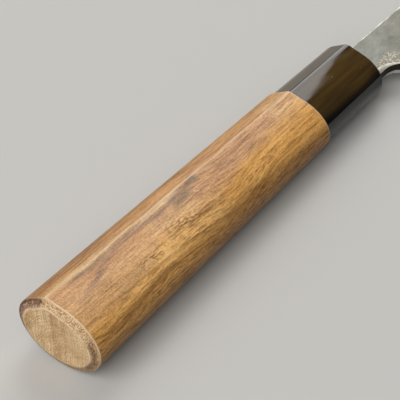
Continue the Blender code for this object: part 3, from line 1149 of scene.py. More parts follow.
        # Pale edges, from rubbing and painted highlight
        worn_and_highlight = graph.product(graph.mask("wear_and_highlight"), self.worn_and_highlight_share)
        graph.fill(shader, {
            "Base Color": graph.mix(worn_and_highlight, surface.colour, self.worn_and_highlight),
            "Roughness": surface.roughness,
            "Specular IOR Level": self.specular_level,
            "Normal": graph.bump(surface.height, surface.depth, self.relief),
        })
        return material

    def side(self, graph: Graph, place: Socket) -> Surface:
        """Long grain: the two woods, the grain's tones, this piece's marks, painted light and shade, and its
        pores.

        Args:
            graph: the material's graph.
            place: places in the knife's frame.

        Returns:
            The surface.
        """
        x, y, z = graph.split(place)
        figure = graph.place(EFFECTS.wood_figure, place=place)
        line = graph.math("ADD", y, graph.total(0.0, (graph.noise(place, (0.10, 0.6, 0.6)), 0.5, 1.4)))
        omote = graph.remap(z, 0.0, 2.0)

        # The rosy heart, with mauve patches, in the golden wood, with brown ones
        heart = graph.product(graph.remap(graph.minus(line, graph.curve(x, self.heart_line)), -1.6, 2.0),
                              graph.remap(line, 6.5, 8.5, 1.0, 0.4))
        colour = graph.mix(heart, self.golden, self.rosy)
        patches = graph.remap(graph.noise(place, (0.05, 0.3, 0.3), detail=1.0), 0.45, 0.62)
        colour = graph.mix(graph.product(heart, patches, 0.25), colour, self.mauve)
        browner = graph.remap(graph.noise(place, (0.03, 0.16, 0.16), detail=0.5), 0.42, 0.60)
        brown = graph.product(graph.remap(figure["Streaks"], 0.44, 0.30), browner, 0.5)
        colour = graph.mix(brown, colour, self.brown)

        # The marks on the right-hand side, and painted shade towards the spine and the edge side
        broken = graph.remap(graph.noise(place, (0.22, 0.7, 0.7), roughness=0.6), 0.38, 0.58, 0.55, 1.0)
        for mark in self.marks:
            share = graph.product(mark.mask(graph, x, line), omote, broken, mark.share)
            colour = graph.mix(share, colour, mark.tone)
        share = graph.product(self.fleck.mask(graph, x, y), omote, self.fleck.share)
        colour = graph.mix(share, colour, self.fleck.tone)
        # Painted shade: darker where the handle turns away from the light, at the spine and the edge side
        spine_side = graph.product(graph.remap(y, 7.0, 9.5), graph.remap(x, 15.0, 45.0, 0.6, 0.35))
        painted_edge_shade = graph.product(graph.remap(line, -8.8, -11.0), graph.remap(x, 30.0, 60.0, 0.0, 0.4))
        colour = graph.mix(graph.math("MAXIMUM", spine_side, painted_edge_shade), colour, self.brown)

        # The figure's level: fibres and grit only darken, as open grain does
        curly = graph.product(heart, graph.remap(x, 30.0, 60.0, 1.0, 0.25))
        fibres = graph.product(graph.math("MINIMUM", graph.minus(figure["Fibres"], 0.5), 0.06),
                               graph.remap(curly, 0.0, 1.0, 2.0, 1.0))
        grit = graph.math("MINIMUM", graph.minus(figure["Grit"], 0.5), 0.09)
        rings = graph.product(graph.minus(figure["Rings"], 0.5),
                              graph.remap(graph.minus(1.0, heart), 0.0, 1.0, 0.35, 0.75))
        cloud = graph.noise(place, (0.10, 0.36, 0.30), detail=1.5)
        level = graph.total(1.06, (rings, 0.0, 1.0), (figure["Streaks"], 0.5, 0.70), (fibres, 0.0, 1.0),
                            (grit, 0.0, 1.7), (cloud, 0.5, 0.35), (figure["Lines"], 0.0, -0.24))
        colour = graph.shade(colour, level)

        # Open pores, fewer near the butt, and the crowded dots
        crowd = graph.math("MAXIMUM", *[cluster.mask(graph, x, y) for cluster in self.clusters])
        dots = graph.product(crowd, figure["Dots"], omote)
        pores = graph.product(figure["Pores"], graph.remap(heart, 0.0, 1.0, 0.8, 0.4),
                              graph.remap(x, 8.0, 30.0, 0.35, 1.0))
        pores = graph.math("MAXIMUM", pores, dots)
        colour = graph.mix(graph.product(pores, self.pore_share), colour, self.pore)
        roughness = graph.remap(figure["Fibres"], 0.3, 0.7, self.satin + 0.07, self.satin - 0.05)
        return Surface(colour, roughness, graph.minus(graph.product(figure["Fibres"], 0.6), pores), 0.03)

    def end(self, graph: Graph, place: Socket) -> Surface:
        """End grain: pale, with growth rings as bands across the face, saw scores, grit and a stain.

        Args:
            graph: the material's graph.
            place: places in the knife's frame.

        Returns:
            The surface.
        """
        _, y, z = graph.split(place)
        bent = graph.noise(place, (0.1, 0.1, 0.22), detail=1.0)
        ring = graph.total(0.0, (y, 0.0, 1.0), (z, 0.0, -0.09), (bent, 0.5, 1.2))
        across = graph.total(0.0, (y, 0.0, 0.61), (z, 0.0, 0.79))
        along = graph.total(0.0, (y, 0.0, -0.79), (z, 0.0, 0.61))
        bowed = graph.math("MULTIPLY_ADD", graph.product(along, along), 0.035, across)
        scores = graph.noise(graph.join(along, bowed, 0.0), (0.22, 2.8, 1.0), detail=1.0)
        growth = graph.noise(graph.join(0.0, ring, z), (1.0, 2.4, 0.08), detail=1.0)
        grit = graph.noise(place, (3.0, 3.0, 3.0), detail=1.0, roughness=0.7)
        cloud = graph.noise(place, (0.3, 0.3, 0.3))
        level = graph.total(graph.curve(ring, self.end_bands), (grit, 0.5, 1.45), (cloud, 0.5, 0.6),
                            (scores, 0.5, 0.6), (growth, 0.5, 0.6))
        colour = graph.shade(self.end_tone, level, 0.8)
        ragged = graph.remap(graph.noise(place, (1.2, 1.2, 1.2), detail=1.5), 0.42, 0.58, 0.2, 0.9)
        stain = graph.product(graph.remap(graph.apart(y, self.stain[0]), 0.5, 1.7, 1.0, 0.0),
                              graph.remap(graph.apart(z, self.stain[1]), 0.9, 2.4, 1.0, 0.0), ragged, 0.6)
        specks = graph.remap(graph.noise(place, (1.7, 1.7, 1.7), detail=1.0), 0.66, 0.74)
        marks = graph.math("MAXIMUM", graph.product(specks, 0.35), stain)
        return Surface(graph.mix(marks, colour, self.brown), self.sawn, grit, 0.03)

    def chamfer(self, graph: Graph, place: Socket) -> Surface:
        """The rasped chamfer: rough cream and brown grains, dark on its spine side, painted shade at its lower
        end.

        Args:
            graph: the material's graph.
            place: places in the knife's frame.

        Returns:
            The surface.
        """
        x, y, _ = graph.split(place)
        grit = graph.noise(place, (2.6, 2.8, 2.8), roughness=0.7)
        colour = graph.ramp(grit, self.rasped)
        ragged = graph.noise(place, (1.1, 0.6, 0.6), roughness=0.7)
        line = graph.total(0.0, (y, 0.0, 1.0), (ragged, 0.5, 3.5))
        outer = graph.remap(graph.total(0.0, (x, 0.0, 1.0), (ragged, 0.5, 1.4)), 0.55, 0.95)
        inner = graph.minus(1.0, outer)
        spine_side = graph.remap(line, 5.0, 6.4)
        colour = graph.mix(graph.product(spine_side, inner, 0.9), colour, self.spine_inside, "MULTIPLY")
        colour = graph.mix(graph.product(spine_side, outer, 0.95), colour, self.spine_outside, "MULTIPLY")
        flakes = graph.product(graph.remap(graph.noise(place, (2.2, 1.9, 1.9), detail=1.0), 0.56, 0.66),
                               spine_side, graph.remap(outer, 0.0, 1.0, 0.85, 0.25))
        colour = graph.mix(flakes, colour, self.flake)
        # Painted shade at the lower end, where the chamfer turns down to the edge side
        lower_end_shade = graph.product(graph.remap(line, -8.6, -10.4), graph.remap(inner, 0.0, 1.0, 0.35, 0.75))
        return Surface(graph.mix(lower_end_shade, colour, self.lower_end_shade_tone, "MULTIPLY"), self.rough, grit, 0.12)


@dataclass(frozen=True)
class Horn:
    """Polished buffalo horn: nearly black, with brown streaks in its depth, a little dust and faint smears."""

    black: Colour = srgb(46, 33, 17)
    brown: Colour = srgb(84, 63, 28)
    # The near-black of the painted shade down the edge side
    depth: Colour = srgb(16, 11, 8)
    dust: Colour = srgb(200, 192, 178)
    sheen_tone: Colour = srgb(244, 250, 255)
    roughness: float = 0.035

    def material(self) -> bpy.types.Material:
        """Build the finish: the brown darkens down to the edge side, as painted shade.

        Returns:
            The material.
        """
        material, graph, shader = new_material("buffalo_horn")
        place = graph.place(EFFECTS.knife_place)["Place"]
        streaks = graph.noise(place, (0.035, 0.42, 0.3), detail=1.5)
        colour = graph.ramp(streaks, ((0.28, self.black), (0.66, self.brown)))
        # Painted shade: near-black towards the edge side, which faces down and away from the light
        low = graph.total(0.0, (graph.split(place)[1], 0.0, 1.0), (streaks, 0.5, 2.5))
        colour = graph.mix(graph.remap(low, -7.8, -9.4), colour, self.depth)
        specks = graph.place(EFFECTS.speckle, place=place, spacing=1.3, size=0.07, amount=0.08)["Specks"]
        smears = graph.remap(graph.noise(place, (0.12, 0.5, 0.5)), 0.4, 0.7, self.roughness, 2 * self.roughness)
        graph.fill(shader, {
            "Base Color": graph.mix(specks, colour, self.dust),
            "Specular Tint": opaque(self.sheen_tone),
            "Roughness": graph.math("ADD", smears, graph.product(specks, 0.6)),
            "Normal": graph.bump(graph.noise(place, (0.1, 0.8, 0.8)), 0.004, 0.5),
        })
        return material


@dataclass(frozen=True)
class PlainFinish:
    """A quiet finish with a slight mottle, for small or hidden pieces."""

    name: str
    colour: Colour
    roughness: float
    grain: tuple[float, float, float]

    def material(self) -> bpy.types.Material:
        """Build the finish.

        Returns:
            The material.
        """
        material, graph, shader = new_material(self.name)
        mottle = graph.noise(graph.place(EFFECTS.knife_place)["Place"], self.grain, detail=3.0)
        darker = tuple(part * 0.7 for part in self.colour)
        lighter = tuple(min(1.0, part * 1.2) for part in self.colour)
        graph.fill(shader, {
            "Base Color": graph.ramp(mottle, ((0.3, darker), (0.7, lighter))),
            "Roughness": self.roughness,
            "Normal": graph.bump(mottle, 0.02, 0.5),
        })
        return material


class Grind(Enum):
    """How the blade's faces were ground or filed, with painted highlight on the neck's lower edge and shade
    under it.
    """

    FLAT = "flat"
    BEVEL = "bevel"
    EDGE = "edge"
    BACK = "back"
    SPINE = "spine"
    # Filed, and pale partly as painted highlight
    FILED_AND_HIGHLIGHT = "filed"
    # The neck's underside, near-black as painted shade
    SCALE = "scale"


@dataclass(frozen=True)
class Steel:
    """Ground steel: its lines run along the blade or up the bevel, with a slight cloudy mottle."""

    grind: Grind
    colour: Colour
    roughness: float
    angle: float = 0.0
    depth: float = 0.004
    mottle: float = 0.5
    metallic: float = 1.0
    haze: Colour = srgb(247, 243, 239)
    # The patch over the neck's lower edge: its pale grey is partly painted highlight
    dull: Colour = srgb(178, 172, 154)
    hollow: Colour = srgb(110, 100, 82)
    pit: Colour = srgb(246, 241, 228)

    def material(self) -> bpy.types.Material:
        """Build the finish: grinding lines, a cloudy mottle and, on the flat, its weathering and a painted
        highlight.

        Returns:
            The material.
        """
        material, graph, shader = new_material(f"steel_{self.grind.value}")
        place = graph.place(EFFECTS.knife_place)["Place"]
        lines = graph.place(EFFECTS.grind, place=place, angle=self.angle)["Lines"]
        cloud = graph.noise(place, (0.24, 0.34, 0.4), roughness=0.6)
        fine = graph.noise(place, (1.3, 1.6, 1.6), detail=1.5, roughness=0.7)
        level = graph.total(1.0, (lines, 0.5, 0.5), (cloud, 0.5, 1.4 * self.mottle), (fine, 0.5, self.mottle))
        colour = graph.shade(self.colour, level, 0.1)
        roughness = graph.remap(level, 0.8, 1.2, self.roughness + 0.06, self.roughness - 0.04)
        if self.grind is Grind.FLAT:
            colour, roughness = self.weather_and_highlight(graph, place, cloud, colour, roughness)
        graph.fill(shader, {
            "Base Color": colour,
            "Metallic": self.metallic,
            "Roughness": roughness,
            "Normal": graph.bump(graph.math("ADD", lines, fine), self.depth, 0.6),
        })
        return material

    def weather_and_highlight(self, graph: Graph, place: Socket, cloud: Socket, colour: Socket,
                roughness: Socket) -> tuple[Socket, Socket]:
        """Add a faint haze in front of a slanting line, and a dull, pitted patch over the neck's lower edge.

        Args:
            graph: the material's graph.
            place: places in the knife's frame.
            cloud: the cloudy mottle, which makes the patch's border ragged.
            colour: the plain finish's colour.
            roughness: the plain finish's roughness.

        Returns:
            The new colour, with a painted highlight on the patch, and roughness.
        """
        x, y, _ = graph.split(place)
        hazy = graph.remap(graph.minus(x, graph.product(y, 1.55)), 159.4, 160.6)
        colour = graph.mix(hazy, colour, self.haze, "MULTIPLY")
        height = graph.total(0.0, (y, 0.0, 1.0), (cloud, 0.5, 4.5))
        # The patch over the neck's lower edge, dull and pitted, and pale partly as painted highlight
        near = graph.product(graph.remap(height, -3.9, -6.2), graph.remap(x, 150.0, 157.0, 1.0, 0.0))
        rough = graph.noise(place, (1.4, 1.7, 1.7), detail=3.0, roughness=0.8)
        colour = graph.mix(graph.product(near, 0.45), colour, self.dull)
        colour = graph.mix(graph.product(near, graph.remap(rough, 0.46, 0.34), 0.4), colour, self.hollow)
        colour = graph.mix(graph.product(near, graph.remap(rough, 0.49, 0.64), 0.7), colour, self.pit)
        return colour, graph.math("ADD", roughness, graph.product(near, 0.15))


# Pieces


def rounded_rectangle(angle: np.ndarray, half_height: float, half_thickness: float,
                      radius: float) -> np.ndarray:
    """A rectangle with round corners about the tang, as the points that lie in given directions.

    A point's distance is where its direction meets the nearer flat side, or, past the side's end, the
    corner's circle: d = c.u + sqrt((c.u)^2 - |c|^2 + r^2), with c the circle's centre.

    Args:
        angle: directions, from +Y towards +Z.
        half_height: half of its height along Y.
        half_thickness: half of its thickness along Z.
        radius: its corners' radius.

    Returns:
        Points as y and z.
    """
    u, v = np.cos(angle), np.sin(angle)
    flat = np.minimum(half_height / np.maximum(np.abs(u), TINY), half_thickness / np.maximum(np.abs(v), TINY))
    centre_y, centre_z = half_height - radius, half_thickness - radius
    toward = centre_y * np.abs(u) + centre_z * np.abs(v)
    inside = np.maximum(toward ** 2 - centre_y ** 2 - centre_z ** 2 + radius ** 2, 0)
    corner = (np.abs(u) * flat > centre_y) & (np.abs(v) * flat > centre_z)
    distance = np.where(corner, toward + np.sqrt(inside), flat)
    return np.stack([HANDLE.tang_y + distance * u, distance * v], axis=-1)


@dataclass
class WoodHandle:
    """The walnut handle: butt face, hand-cut chamfer, tapered body and the bore for the dowel.

    A margin is the straight run that is left beside a rounding, and face_start the share of the butt's
    outline that the innermost ring of its face has.
    """

    chamfer_width: float = 2.6
    chamfer_depth: float = 1.3
    face_rounding: float = 0.14
    side_rounding: float = 0.22
    front_chamfer: float = 0.3
    front_rounding: float = 0.1
    margin: float = 0.5
    front_margin: float = 0.3
    spacing: float = 0.8
    bore_start: float = 41.7
    face_start: float = 0.06
    end_grain_stop: float = 0.06
    chamfer_play: float = 0.05
    face_rows: int = 14
    front_rows: int = 8
    bore_rows: int = 20
    noise: Noise = Noise(11)
    waviness: Waviness = Waviness(depth=0.03, wavelength=(14.0, 3.5, 3.5), still=(0.4, 0.5),
                                  calming=(2.0, 2.0), noise=noise)
    # Pale lines along the ridge and rims, from rubbing and painted highlight where they catch the light
    ridge_rub_and_highlight: RubAndHighlight = RubAndHighlight(place=0.0, width=0.34, strength=1.0)
    face_rim_rub_and_light: RubAndHighlight = RubAndHighlight(place=0.05, width=0.2, strength=1.1)
    inside_rim_rub_and_light: RubAndHighlight = RubAndHighlight(place=0.0, width=0.15, strength=1.0)
    chamfer_rim_rub_and_highlight: RubAndHighlight = RubAndHighlight(place=0.06, width=0.12, strength=2.4)
    front_rim_rub_and_highlight: RubAndHighlight = RubAndHighlight(place=-0.1, width=0.34, strength=1.2)
    # The chamfer's outer rim line is weaker above this height, over a run of so many millimetres
    rim_line_below: float = 6.0
    rim_line_run: float = 2.0
    rim_line_least: float = 0.15

    def build(self) -> bpy.types.Object:
        """Skin the handle from the middle of its butt, over its outside and back through its bore.

        Returns:
            The handle.
        """
        wood = HANDLE.wood_length
        profile = rounded_profile([
            Corner(0.0, self.chamfer_width + self.margin),
            Corner(0.0, self.chamfer_width, self.face_rounding),
            Corner(self.chamfer_depth, 0.0, self.side_rounding),
            Corner(self.chamfer_depth + self.margin, 0.0),
            Corner(wood - self.front_chamfer - self.front_margin, 0.0),
            Corner(wood - self.front_chamfer, 0.0, self.front_rounding),
            Corner(wood, self.front_chamfer, self.front_rounding),
            Corner(wood, self.front_chamfer + self.margin),
        ], self.spacing)
        x, inset = profile.T
        side = rows_at(x, HANDLE.outline(x, inset))
        last = side[-1]
        face = side[0] * np.linspace(self.face_start, 1, self.face_rows)[:-1, None, None]
        bore = rows_at(wood, HANDLE.circle(last[None, :, 1:], HANDLE.bore_radius))[0]
        front = morph(last, bore, self.front_rows)
        reach = np.array([self.bore_start - wood, 0, 0])
        wall = front[-1] + reach * np.linspace(0, 1, self.bore_rows)[1:, None, None]
        points = np.concatenate([face, side, front, wall])
        outside = slice(len(face), len(face) + len(x))
        self.waviness.draw_in(points[outside], 0.0, wood)
        # Pale lines from rubbing and painted highlight, on the outside only
        wear_and_highlight = np.zeros(points.shape[:2])
        wear_and_highlight[outside] = self.wear_and_highlight(side, inset)
        zones = self.zones(side, len(face), len(front), len(wall))
        finishes = [Walnut(cut).material() for cut in Cut]
        handle = Skin(points, zones, masks={"wear_and_highlight": wear_and_highlight}).build("walnut_handle", finishes, CREASE)
        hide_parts("handle_body")
        return handle

    def zones(self, side: np.ndarray, face: int, front: int, wall: int) -> np.ndarray:
        """Which finish each row of faces has, as its number in the order of the cuts.

        Args:
            side: the outside's points.
            face: number of the butt face's rows.
            front: number of the front face's rows.
            wall: number of the bore's rows.

        Returns:
            A column of finish numbers.
        """
        long_grain, end_grain, chamfer = range(len(Cut))
        band_x = (side[:-1, 0, 0] + side[1:, 0, 0]) / 2
        outside = np.where(band_x < self.chamfer_depth - self.chamfer_play, chamfer, long_grain)
        outside[band_x < self.end_grain_stop] = end_grain
        return np.concatenate([np.full(face, end_grain), outside, np.full(front, end_grain),
                               np.full(wall, long_grain)])[:, None]

    def wear_and_highlight(self, side: np.ndarray, inset: np.ndarray) -> np.ndarray:
        """Pale edges, from rubbing and painted highlight: the ridge, both chamfer rims and the front's rim.

        A noise makes the ridge uneven, and another one the chamfer's rims patchy.

        Args:
            side: the outside's points.
            inset: how far each row lies inside the handle's outside.

        Returns:
            A share for each point.
        """
        x = side[..., 0]
        crest = side[:, HANDLE.oval_steps + HANDLE.crest_steps // 2, None]
        away = np.linalg.norm(side - crest, axis=-1)
        uneven = 0.48 + 0.3 * self.noise.at(side, (9.0, 30.0, 30.0))
        patchy = 0.7 + 0.4 * self.noise.at(side + 50.0, (2.5, 2.5, 2.5))
        inside = np.maximum(inset - self.chamfer_width, 0)[:, None]
        below = ease((self.rim_line_below - side[..., 1]) / self.rim_line_run)
        rim_line_share = self.rim_line_least + (1 - self.rim_line_least) * below
        # Pale rims, from rubbing and painted light
        rims = self.face_rim_rub_and_light.at(x) * self.inside_rim_rub_and_light.at(inside)
        rims += self.chamfer_rim_rub_and_highlight.at(x - self.chamfer_depth) * rim_line_share
        front = self.front_rim_rub_and_highlight.at(x - HANDLE.wood_length)
        return np.clip(self.ridge_rub_and_highlight.at(away) * uneven + rims * patchy + front, 0, 1)


@dataclass
class Ferrule:
    """The horn ferrule, a step below the wood, with its rounded lip, slot and bore."""

    gap: float = 0.1
    step: float = 0.5
    rounding: float = 1.2
    back_rounding: float = 0.06
    margin: float = 0.4
    spacing: float = 0.5
    front_wall: float = 6.5
    slot_play: float = 0.8
    slot_corner: float = 1.4
    waviness: Waviness = Waviness(depth=0.025, wavelength=(11.0, 4.0, 4.0), still=(0.2, 0.6),
                                  calming=(1.5, 2.0), noise=Noise(5))
    lip_steps: int = 12
    face_rows: int = 8
    slot_rows: int = 8
    shoulder_rows: int = 3
    bore_rows: int = 10
    back_rows: int = 5

    def build(self) -> bpy.types.Object:
        """Skin the ferrule as one loop: back face, outside, lip, front face, slot and bore.

        Returns:
            The ferrule.
        """
        back, front = HANDLE.wood_length + self.gap, HANDLE.length
        profile = rounded_profile([
            Corner(back, self.step + self.margin),
            Corner(back, self.step, self.back_rounding),
            Corner(front - self.rounding, self.step),
        ], self.spacing)
        turn = np.linspace(0, math.pi / 2, self.lip_steps)[1:]
        lip = np.stack([front - self.rounding * (1 - np.sin(turn)),
                        self.step + self.rounding * (1 - np.cos(turn))], axis=-1)
        x, inset = np.concatenate([profile, lip]).T
        side = rows_at(x, HANDLE.outline(x, inset))
        self.waviness.draw_in(side, back, front)
        last = side[-1]
        slot = rounded_rectangle(HANDLE.angles(last[None, :, 1:]), BLADE.neck_height / 2 + self.slot_play,
                                 BLADE.thickness / 2 + self.slot_play, self.slot_corner)
        face = morph(last, rows_at(front, slot)[0], self.face_rows)
        wall = morph(face[-1], face[-1] - np.array([self.front_wall, 0, 0]), self.slot_rows)
        circle = HANDLE.circle(last[None, :, 1:], HANDLE.bore_radius)
        bore_front = rows_at(front - self.front_wall, circle)[0]
        shoulder = morph(wall[-1], bore_front, self.shoulder_rows)
        bore_back = bore_front + np.array([back - front + self.front_wall, 0, 0])
        bore = morph(bore_front, bore_back, self.bore_rows)
        end = morph(bore[-1], side[0], self.back_rows)[:-1]
        points = np.concatenate([side, face, wall, shoulder, bore, end])
        horn = Horn().material()
        ferrule = Skin(points, ONE_ZONE, Ends.LOOP).build("horn_ferrule", [horn], CREASE)
        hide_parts("ferrule")
        return ferrule


@dataclass
class NeckSeal:
    """The resin collar that fills the ferrule's mouth round the neck, with a slightly sunk skin."""

    wall: float = 0.7
    corner: float = 1.3
    fit: float = 0.1
    inner_corner: float = 0.1
    recess: float = 0.3
    length: float = 4.6
    dip: float = 0.12
    columns: int = 240
    rows: int = 6
    back_rows: int = 3

    def ring(self, play: float, corner: float) -> np.ndarray:
        """A rounded rectangle that lies a given play outside the neck."""
        angle = np.linspace(0, 2 * math.pi, self.columns, endpoint=False)
        return rounded_rectangle(angle, BLADE.neck_height / 2 + play, BLADE.thickness / 2 + play, corner)

    def build(self) -> bpy.types.Object:
        """Skin the collar as one loop: outside, front, opening and back. The skin dips as 4 s (1 - s).

        Returns:
            The collar.
        """
        front = HANDLE.length - self.recess
        outer, inner = (rows_at(front, self.ring(play, corner)[None])[0]
                        for play, corner in ((self.wall, self.corner), (self.fit, self.inner_corner)))
        behind = np.array([-self.length, 0, 0])
        outside = np.concatenate([(outer + behind)[None], morph(outer + behind, outer, self.rows)])
        skin = morph(outer, inner, self.rows)
        share = np.linspace(0, 1, self.rows + 1)[1:, None]
        skin[..., 0] -= self.dip * 4 * share * (1 - share)
        opening = morph(inner, inner + behind, self.rows)
        back = morph(opening[-1], outside[0], self.back_rows)[:-1]
        points = np.concatenate([outside, skin, opening, back])
        resin = PlainFinish("resin", srgb(60, 44, 30), roughness=0.38, grain=(0.6, 0.9, 0.9)).material()
        seal = Skin(points, ONE_ZONE, Ends.LOOP).build("resin_seal", [resin], CREASE)
        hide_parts("neck_seal")
        return seal


@dataclass
class BladeIron:
    """The soft-iron body: tang, shoulders, neck, flat and the upper part of the bevel."""

    shape: BladeShape = BLADE
    spine_points: int = 13
    corner_points: int = 5
    tang_stations: int = 30
    neck_stations: int = 12

    def corners(self, ends: Pair, sides: Pair, crease: Pair, spine: Pair, lower: float | np.ndarray,
                lower_z: np.ndarray) -> list[Pair]:
        """Corners of the sections: a quarter ellipse at the spine, and a quarter round at the lower side.

        Args:
            ends: heights of the spine and of the lower side.
            sides: planes of the left side and of the right side at the spine.
            crease: height and plane of the line where the right side turns.
            spine: the spine rounding's height and depth.
            lower: the lower rounding's radius.
            lower_z: plane of the right side at the lower rounding.

        Returns:
            Each corner's y and z for all places.
        """
        (top, bottom), (back, upper), (cut, rise) = ends, sides, spine
        rolls = np.linspace(0, math.pi / 2, self.spine_points)
        turns = np.linspace(0, math.pi / 2, self.corner_points)
        rolled = [(top - cut * (1 - math.cos(roll)), upper - rise * (1 - math.sin(roll))) for roll in rolls]
        turned = [(bottom + lower * (1 - math.sin(turn)), lower_z - lower * (1 - math.cos(turn)))
                  for turn in turns]
        return [(top, back), *rolled, crease, *turned, (bottom, back)]

    def ring(self, x: np.ndarray, back: np.ndarray) -> list[Pair]:
        """Corners of the sections at x: spine, its rounding, flat, shinogi, lower side and back.

        The spine's rounding takes a third of the section's thickness at most.

        Args:
            x: places along the blade.
            back: the plane of the section's left side, its own or the weld's.

        Returns:
            Each corner's y and z for all places.
        """
        blade = self.shape
        top = blade.spine_y(x)
        bottom = np.maximum(blade.lower_y(x), blade.bevel_y(x, back))
        rounding = blade.neck_rounding * (1 - np.clip((x - blade.curve_x) / blade.neck_radius, 0, 1))
        cut = np.minimum(blade.spine_chamfer, (blade.face_z(x, top) - back) / 3)
        shinogi = np.minimum(blade.edge_y(x) + blade.bevel_width(x), top - cut)
        crease = np.maximum(shinogi, bottom + rounding)
        upper = blade.face_z(x, top - cut)
        rise = upper - blade.face_z(x, top) + cut
        return self.corners((top, bottom), (back, upper), (crease, blade.face_z(x, crease)), (cut, rise),
                            rounding, blade.face_z(x, bottom + rounding))

    def tang(self, x: np.ndarray) -> list[Pair]:
        """Corners of the tapering tang's sections, as many as the blade's.

        Args:
            x: places along the blade.

        Returns:
            Each corner's y and z for all places.
        """
        blade = self.shape
        start = blade.handle_length - blade.tang_length
        share = (x - start) / (blade.shoulder_x - start)
        half_height, side = ((end + (front - end) * share) / 2
                             for end, front in zip(blade.tang_end, blade.tang_front))
        ends = blade.tang_y + half_height, blade.tang_y - half_height
        cut = blade.tang_chamfer
        return self.corners(ends, (-side, side), (np.full_like(x, blade.tang_y), side), (cut, cut), cut, side)

    def build(self) -> bpy.types.Object:
        """Skin the iron from the tang's end to where it feathers out near the tip.

        Returns:
            The iron.
        """
        blade = self.shape
        # filed is the neck's lower rounding, pale partly as painted highlight; scale its underside, near-black
        # as painted shade
        flat, bevel, spine, filed, scale = range(5)
        # Each side's finish and its number of points, from the spine round to the back
        zones, steps = zip((spine, 3), *[(spine, 1)] * (self.spine_points - 1), (flat, 14), (bevel, 14),
                           *[(filed, 2)] * (self.corner_points - 1), (scale, 4), (flat, 18))
        tang_x = np.linspace(blade.handle_length - blade.tang_length, blade.shoulder_x, self.tang_stations)
        neck_x = np.linspace(blade.shoulder_x + blade.shoulder_run, blade.scarf_x, self.neck_stations)
        blade_x = blade.stations(blade.scarf_x)
        thickness = blade.face_z(blade_x, blade.spine_y(blade_x)) - blade.layer_z(blade_x)
        blade_x = blade_x[thickness > blade.feather]
        points = np.concatenate([
            rows_at(tang_x, divide(self.tang(tang_x), steps)),
            rows_at(neck_x, divide(self.ring(neck_x, np.full_like(neck_x, blade.back_z)), steps)),
            rows_at(blade_x, divide(self.ring(blade_x, blade.layer_z(blade_x)), steps)),
        ])
        finishes = [finish.material() for finish in (
            Steel(Grind.FLAT, srgb(127, 128, 121), roughness=0.58, mottle=0.35),
            Steel(Grind.BEVEL, srgb(160, 159, 154), roughness=0.50, angle=math.radians(78), depth=0.006,
                  mottle=0.25),
            Steel(Grind.SPINE, srgb(183, 180, 169), roughness=0.52, mottle=0.8),
            # The filed rounding of the neck's lower edge: near-white, its brightness partly painted highlight
            Steel(Grind.FILED_AND_HIGHLIGHT, srgb(242, 238, 224), roughness=0.62, angle=math.radians(60), depth=0.05,
                  metallic=0.4),
            # The iron's underside: near-black painted shade
            Steel(Grind.SCALE, srgb(56, 52, 46), roughness=0.55, depth=0.03),
        )]
        iron = Skin(points, np.repeat(zones, steps)[None]).build("soft_iron", finishes, STEEL_CREASE)
        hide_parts("blade_jigane")
        return iron


@dataclass
class BladeSteel:
    """The hard-steel layer: it backs the blade, is hollow-ground and carries the edge."""

    shape: BladeShape = BLADE
    hollow_points: int = 24

    def ring(self, x: np.ndarray) -> list[Pair]:
        """Corners of the sections at x: weld, bevel, edge, rims and the hollow between them.

        The hollow is a parabola: depth * (1 - (2 s - 1)^2), with s the share from rim to rim. A rim is a
        quarter of the height at most, and the spine's bevel a third of the layer.

        Args:
            x: places along the blade.

        Returns:
            Each corner's y and z for all places.
        """
        blade = self.shape
        weld = blade.layer_z(x) - blade.weld_gap
        top, bottom = blade.spine_y(x), blade.lower_y(x)
        seam = np.maximum(bottom, blade.bevel_y(x, weld))
        spine_z = np.minimum(weld, blade.face_z(x, top))
        spine_cut = np.minimum(blade.spine_chamfer / 2, (spine_z - blade.back_z) / 3)
        low = bottom + np.minimum(blade.edge_rim, (top - bottom) / 4)
        high = top - np.maximum(np.minimum(blade.spine_rim, (top - bottom) / 4), spine_cut)
        hollow = [(low + (high - low) * share,
                   blade.back_z + blade.hollow_depth(x) * (1 - (2 * share - 1) ** 2))
                  for share in np.linspace(0, 1, self.hollow_points + 1)]
        return [
            (top, spine_z),
            (seam, np.minimum(weld, blade.face_z(x, seam))),
            (bottom, np.minimum(weld, blade.face_z(x, bottom))),
            (bottom, blade.back_z),
            *hollow,
            (top - spine_cut, blade.back_z),
            (top, blade.back_z + spine_cut),
        ]

    def build(self) -> bpy.types.Object:
        """Skin the steel from its scarf to the tip.

        Returns:
            The steel.
        """
        blade = self.shape
        x = blade.stations(blade.scarf_x + blade.weld_gap)
        edge, back, spine = range(3)
        # Each side's finish and its number of points, from the weld round to the spine
        zones, steps = zip((spine, 12), (edge, 8), (edge, 2), (back, 2),
                           *[(back, 1)] * (self.hollow_points + 1), (spine, 1), (spine, 1))
        points = rows_at(x, divide(self.ring(x), steps))
        finishes = [
            Steel(Grind.EDGE, srgb(206, 206, 202), roughness=0.26, angle=math.radians(78)).material(),
            Steel(Grind.BACK, srgb(196, 196, 190), roughness=0.30, angle=math.radians(84)).material(),
            bpy.data.materials["steel_spine"],
        ]
        steel = Skin(points, np.repeat(zones, steps)[None]).build("hard_steel", finishes, STEEL_CREASE)
        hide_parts("blade_hagane")
        return steel


@dataclass
class Dowel:
    """The plain dowel inside the handle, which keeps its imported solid."""

    def dress(self) -> bpy.types.Object:
        """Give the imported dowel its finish.

        Returns:
            The dowel.
        """
        dowel = FRAME["nodes"]["dowel"]
        finish = PlainFinish("ho_wood", srgb(206, 186, 148), roughness=0.6, grain=(0.1, 1.6, 1.6)).material()
        for slot in dowel.material_slots:
            slot.material = finish
        return dowel


# Studio


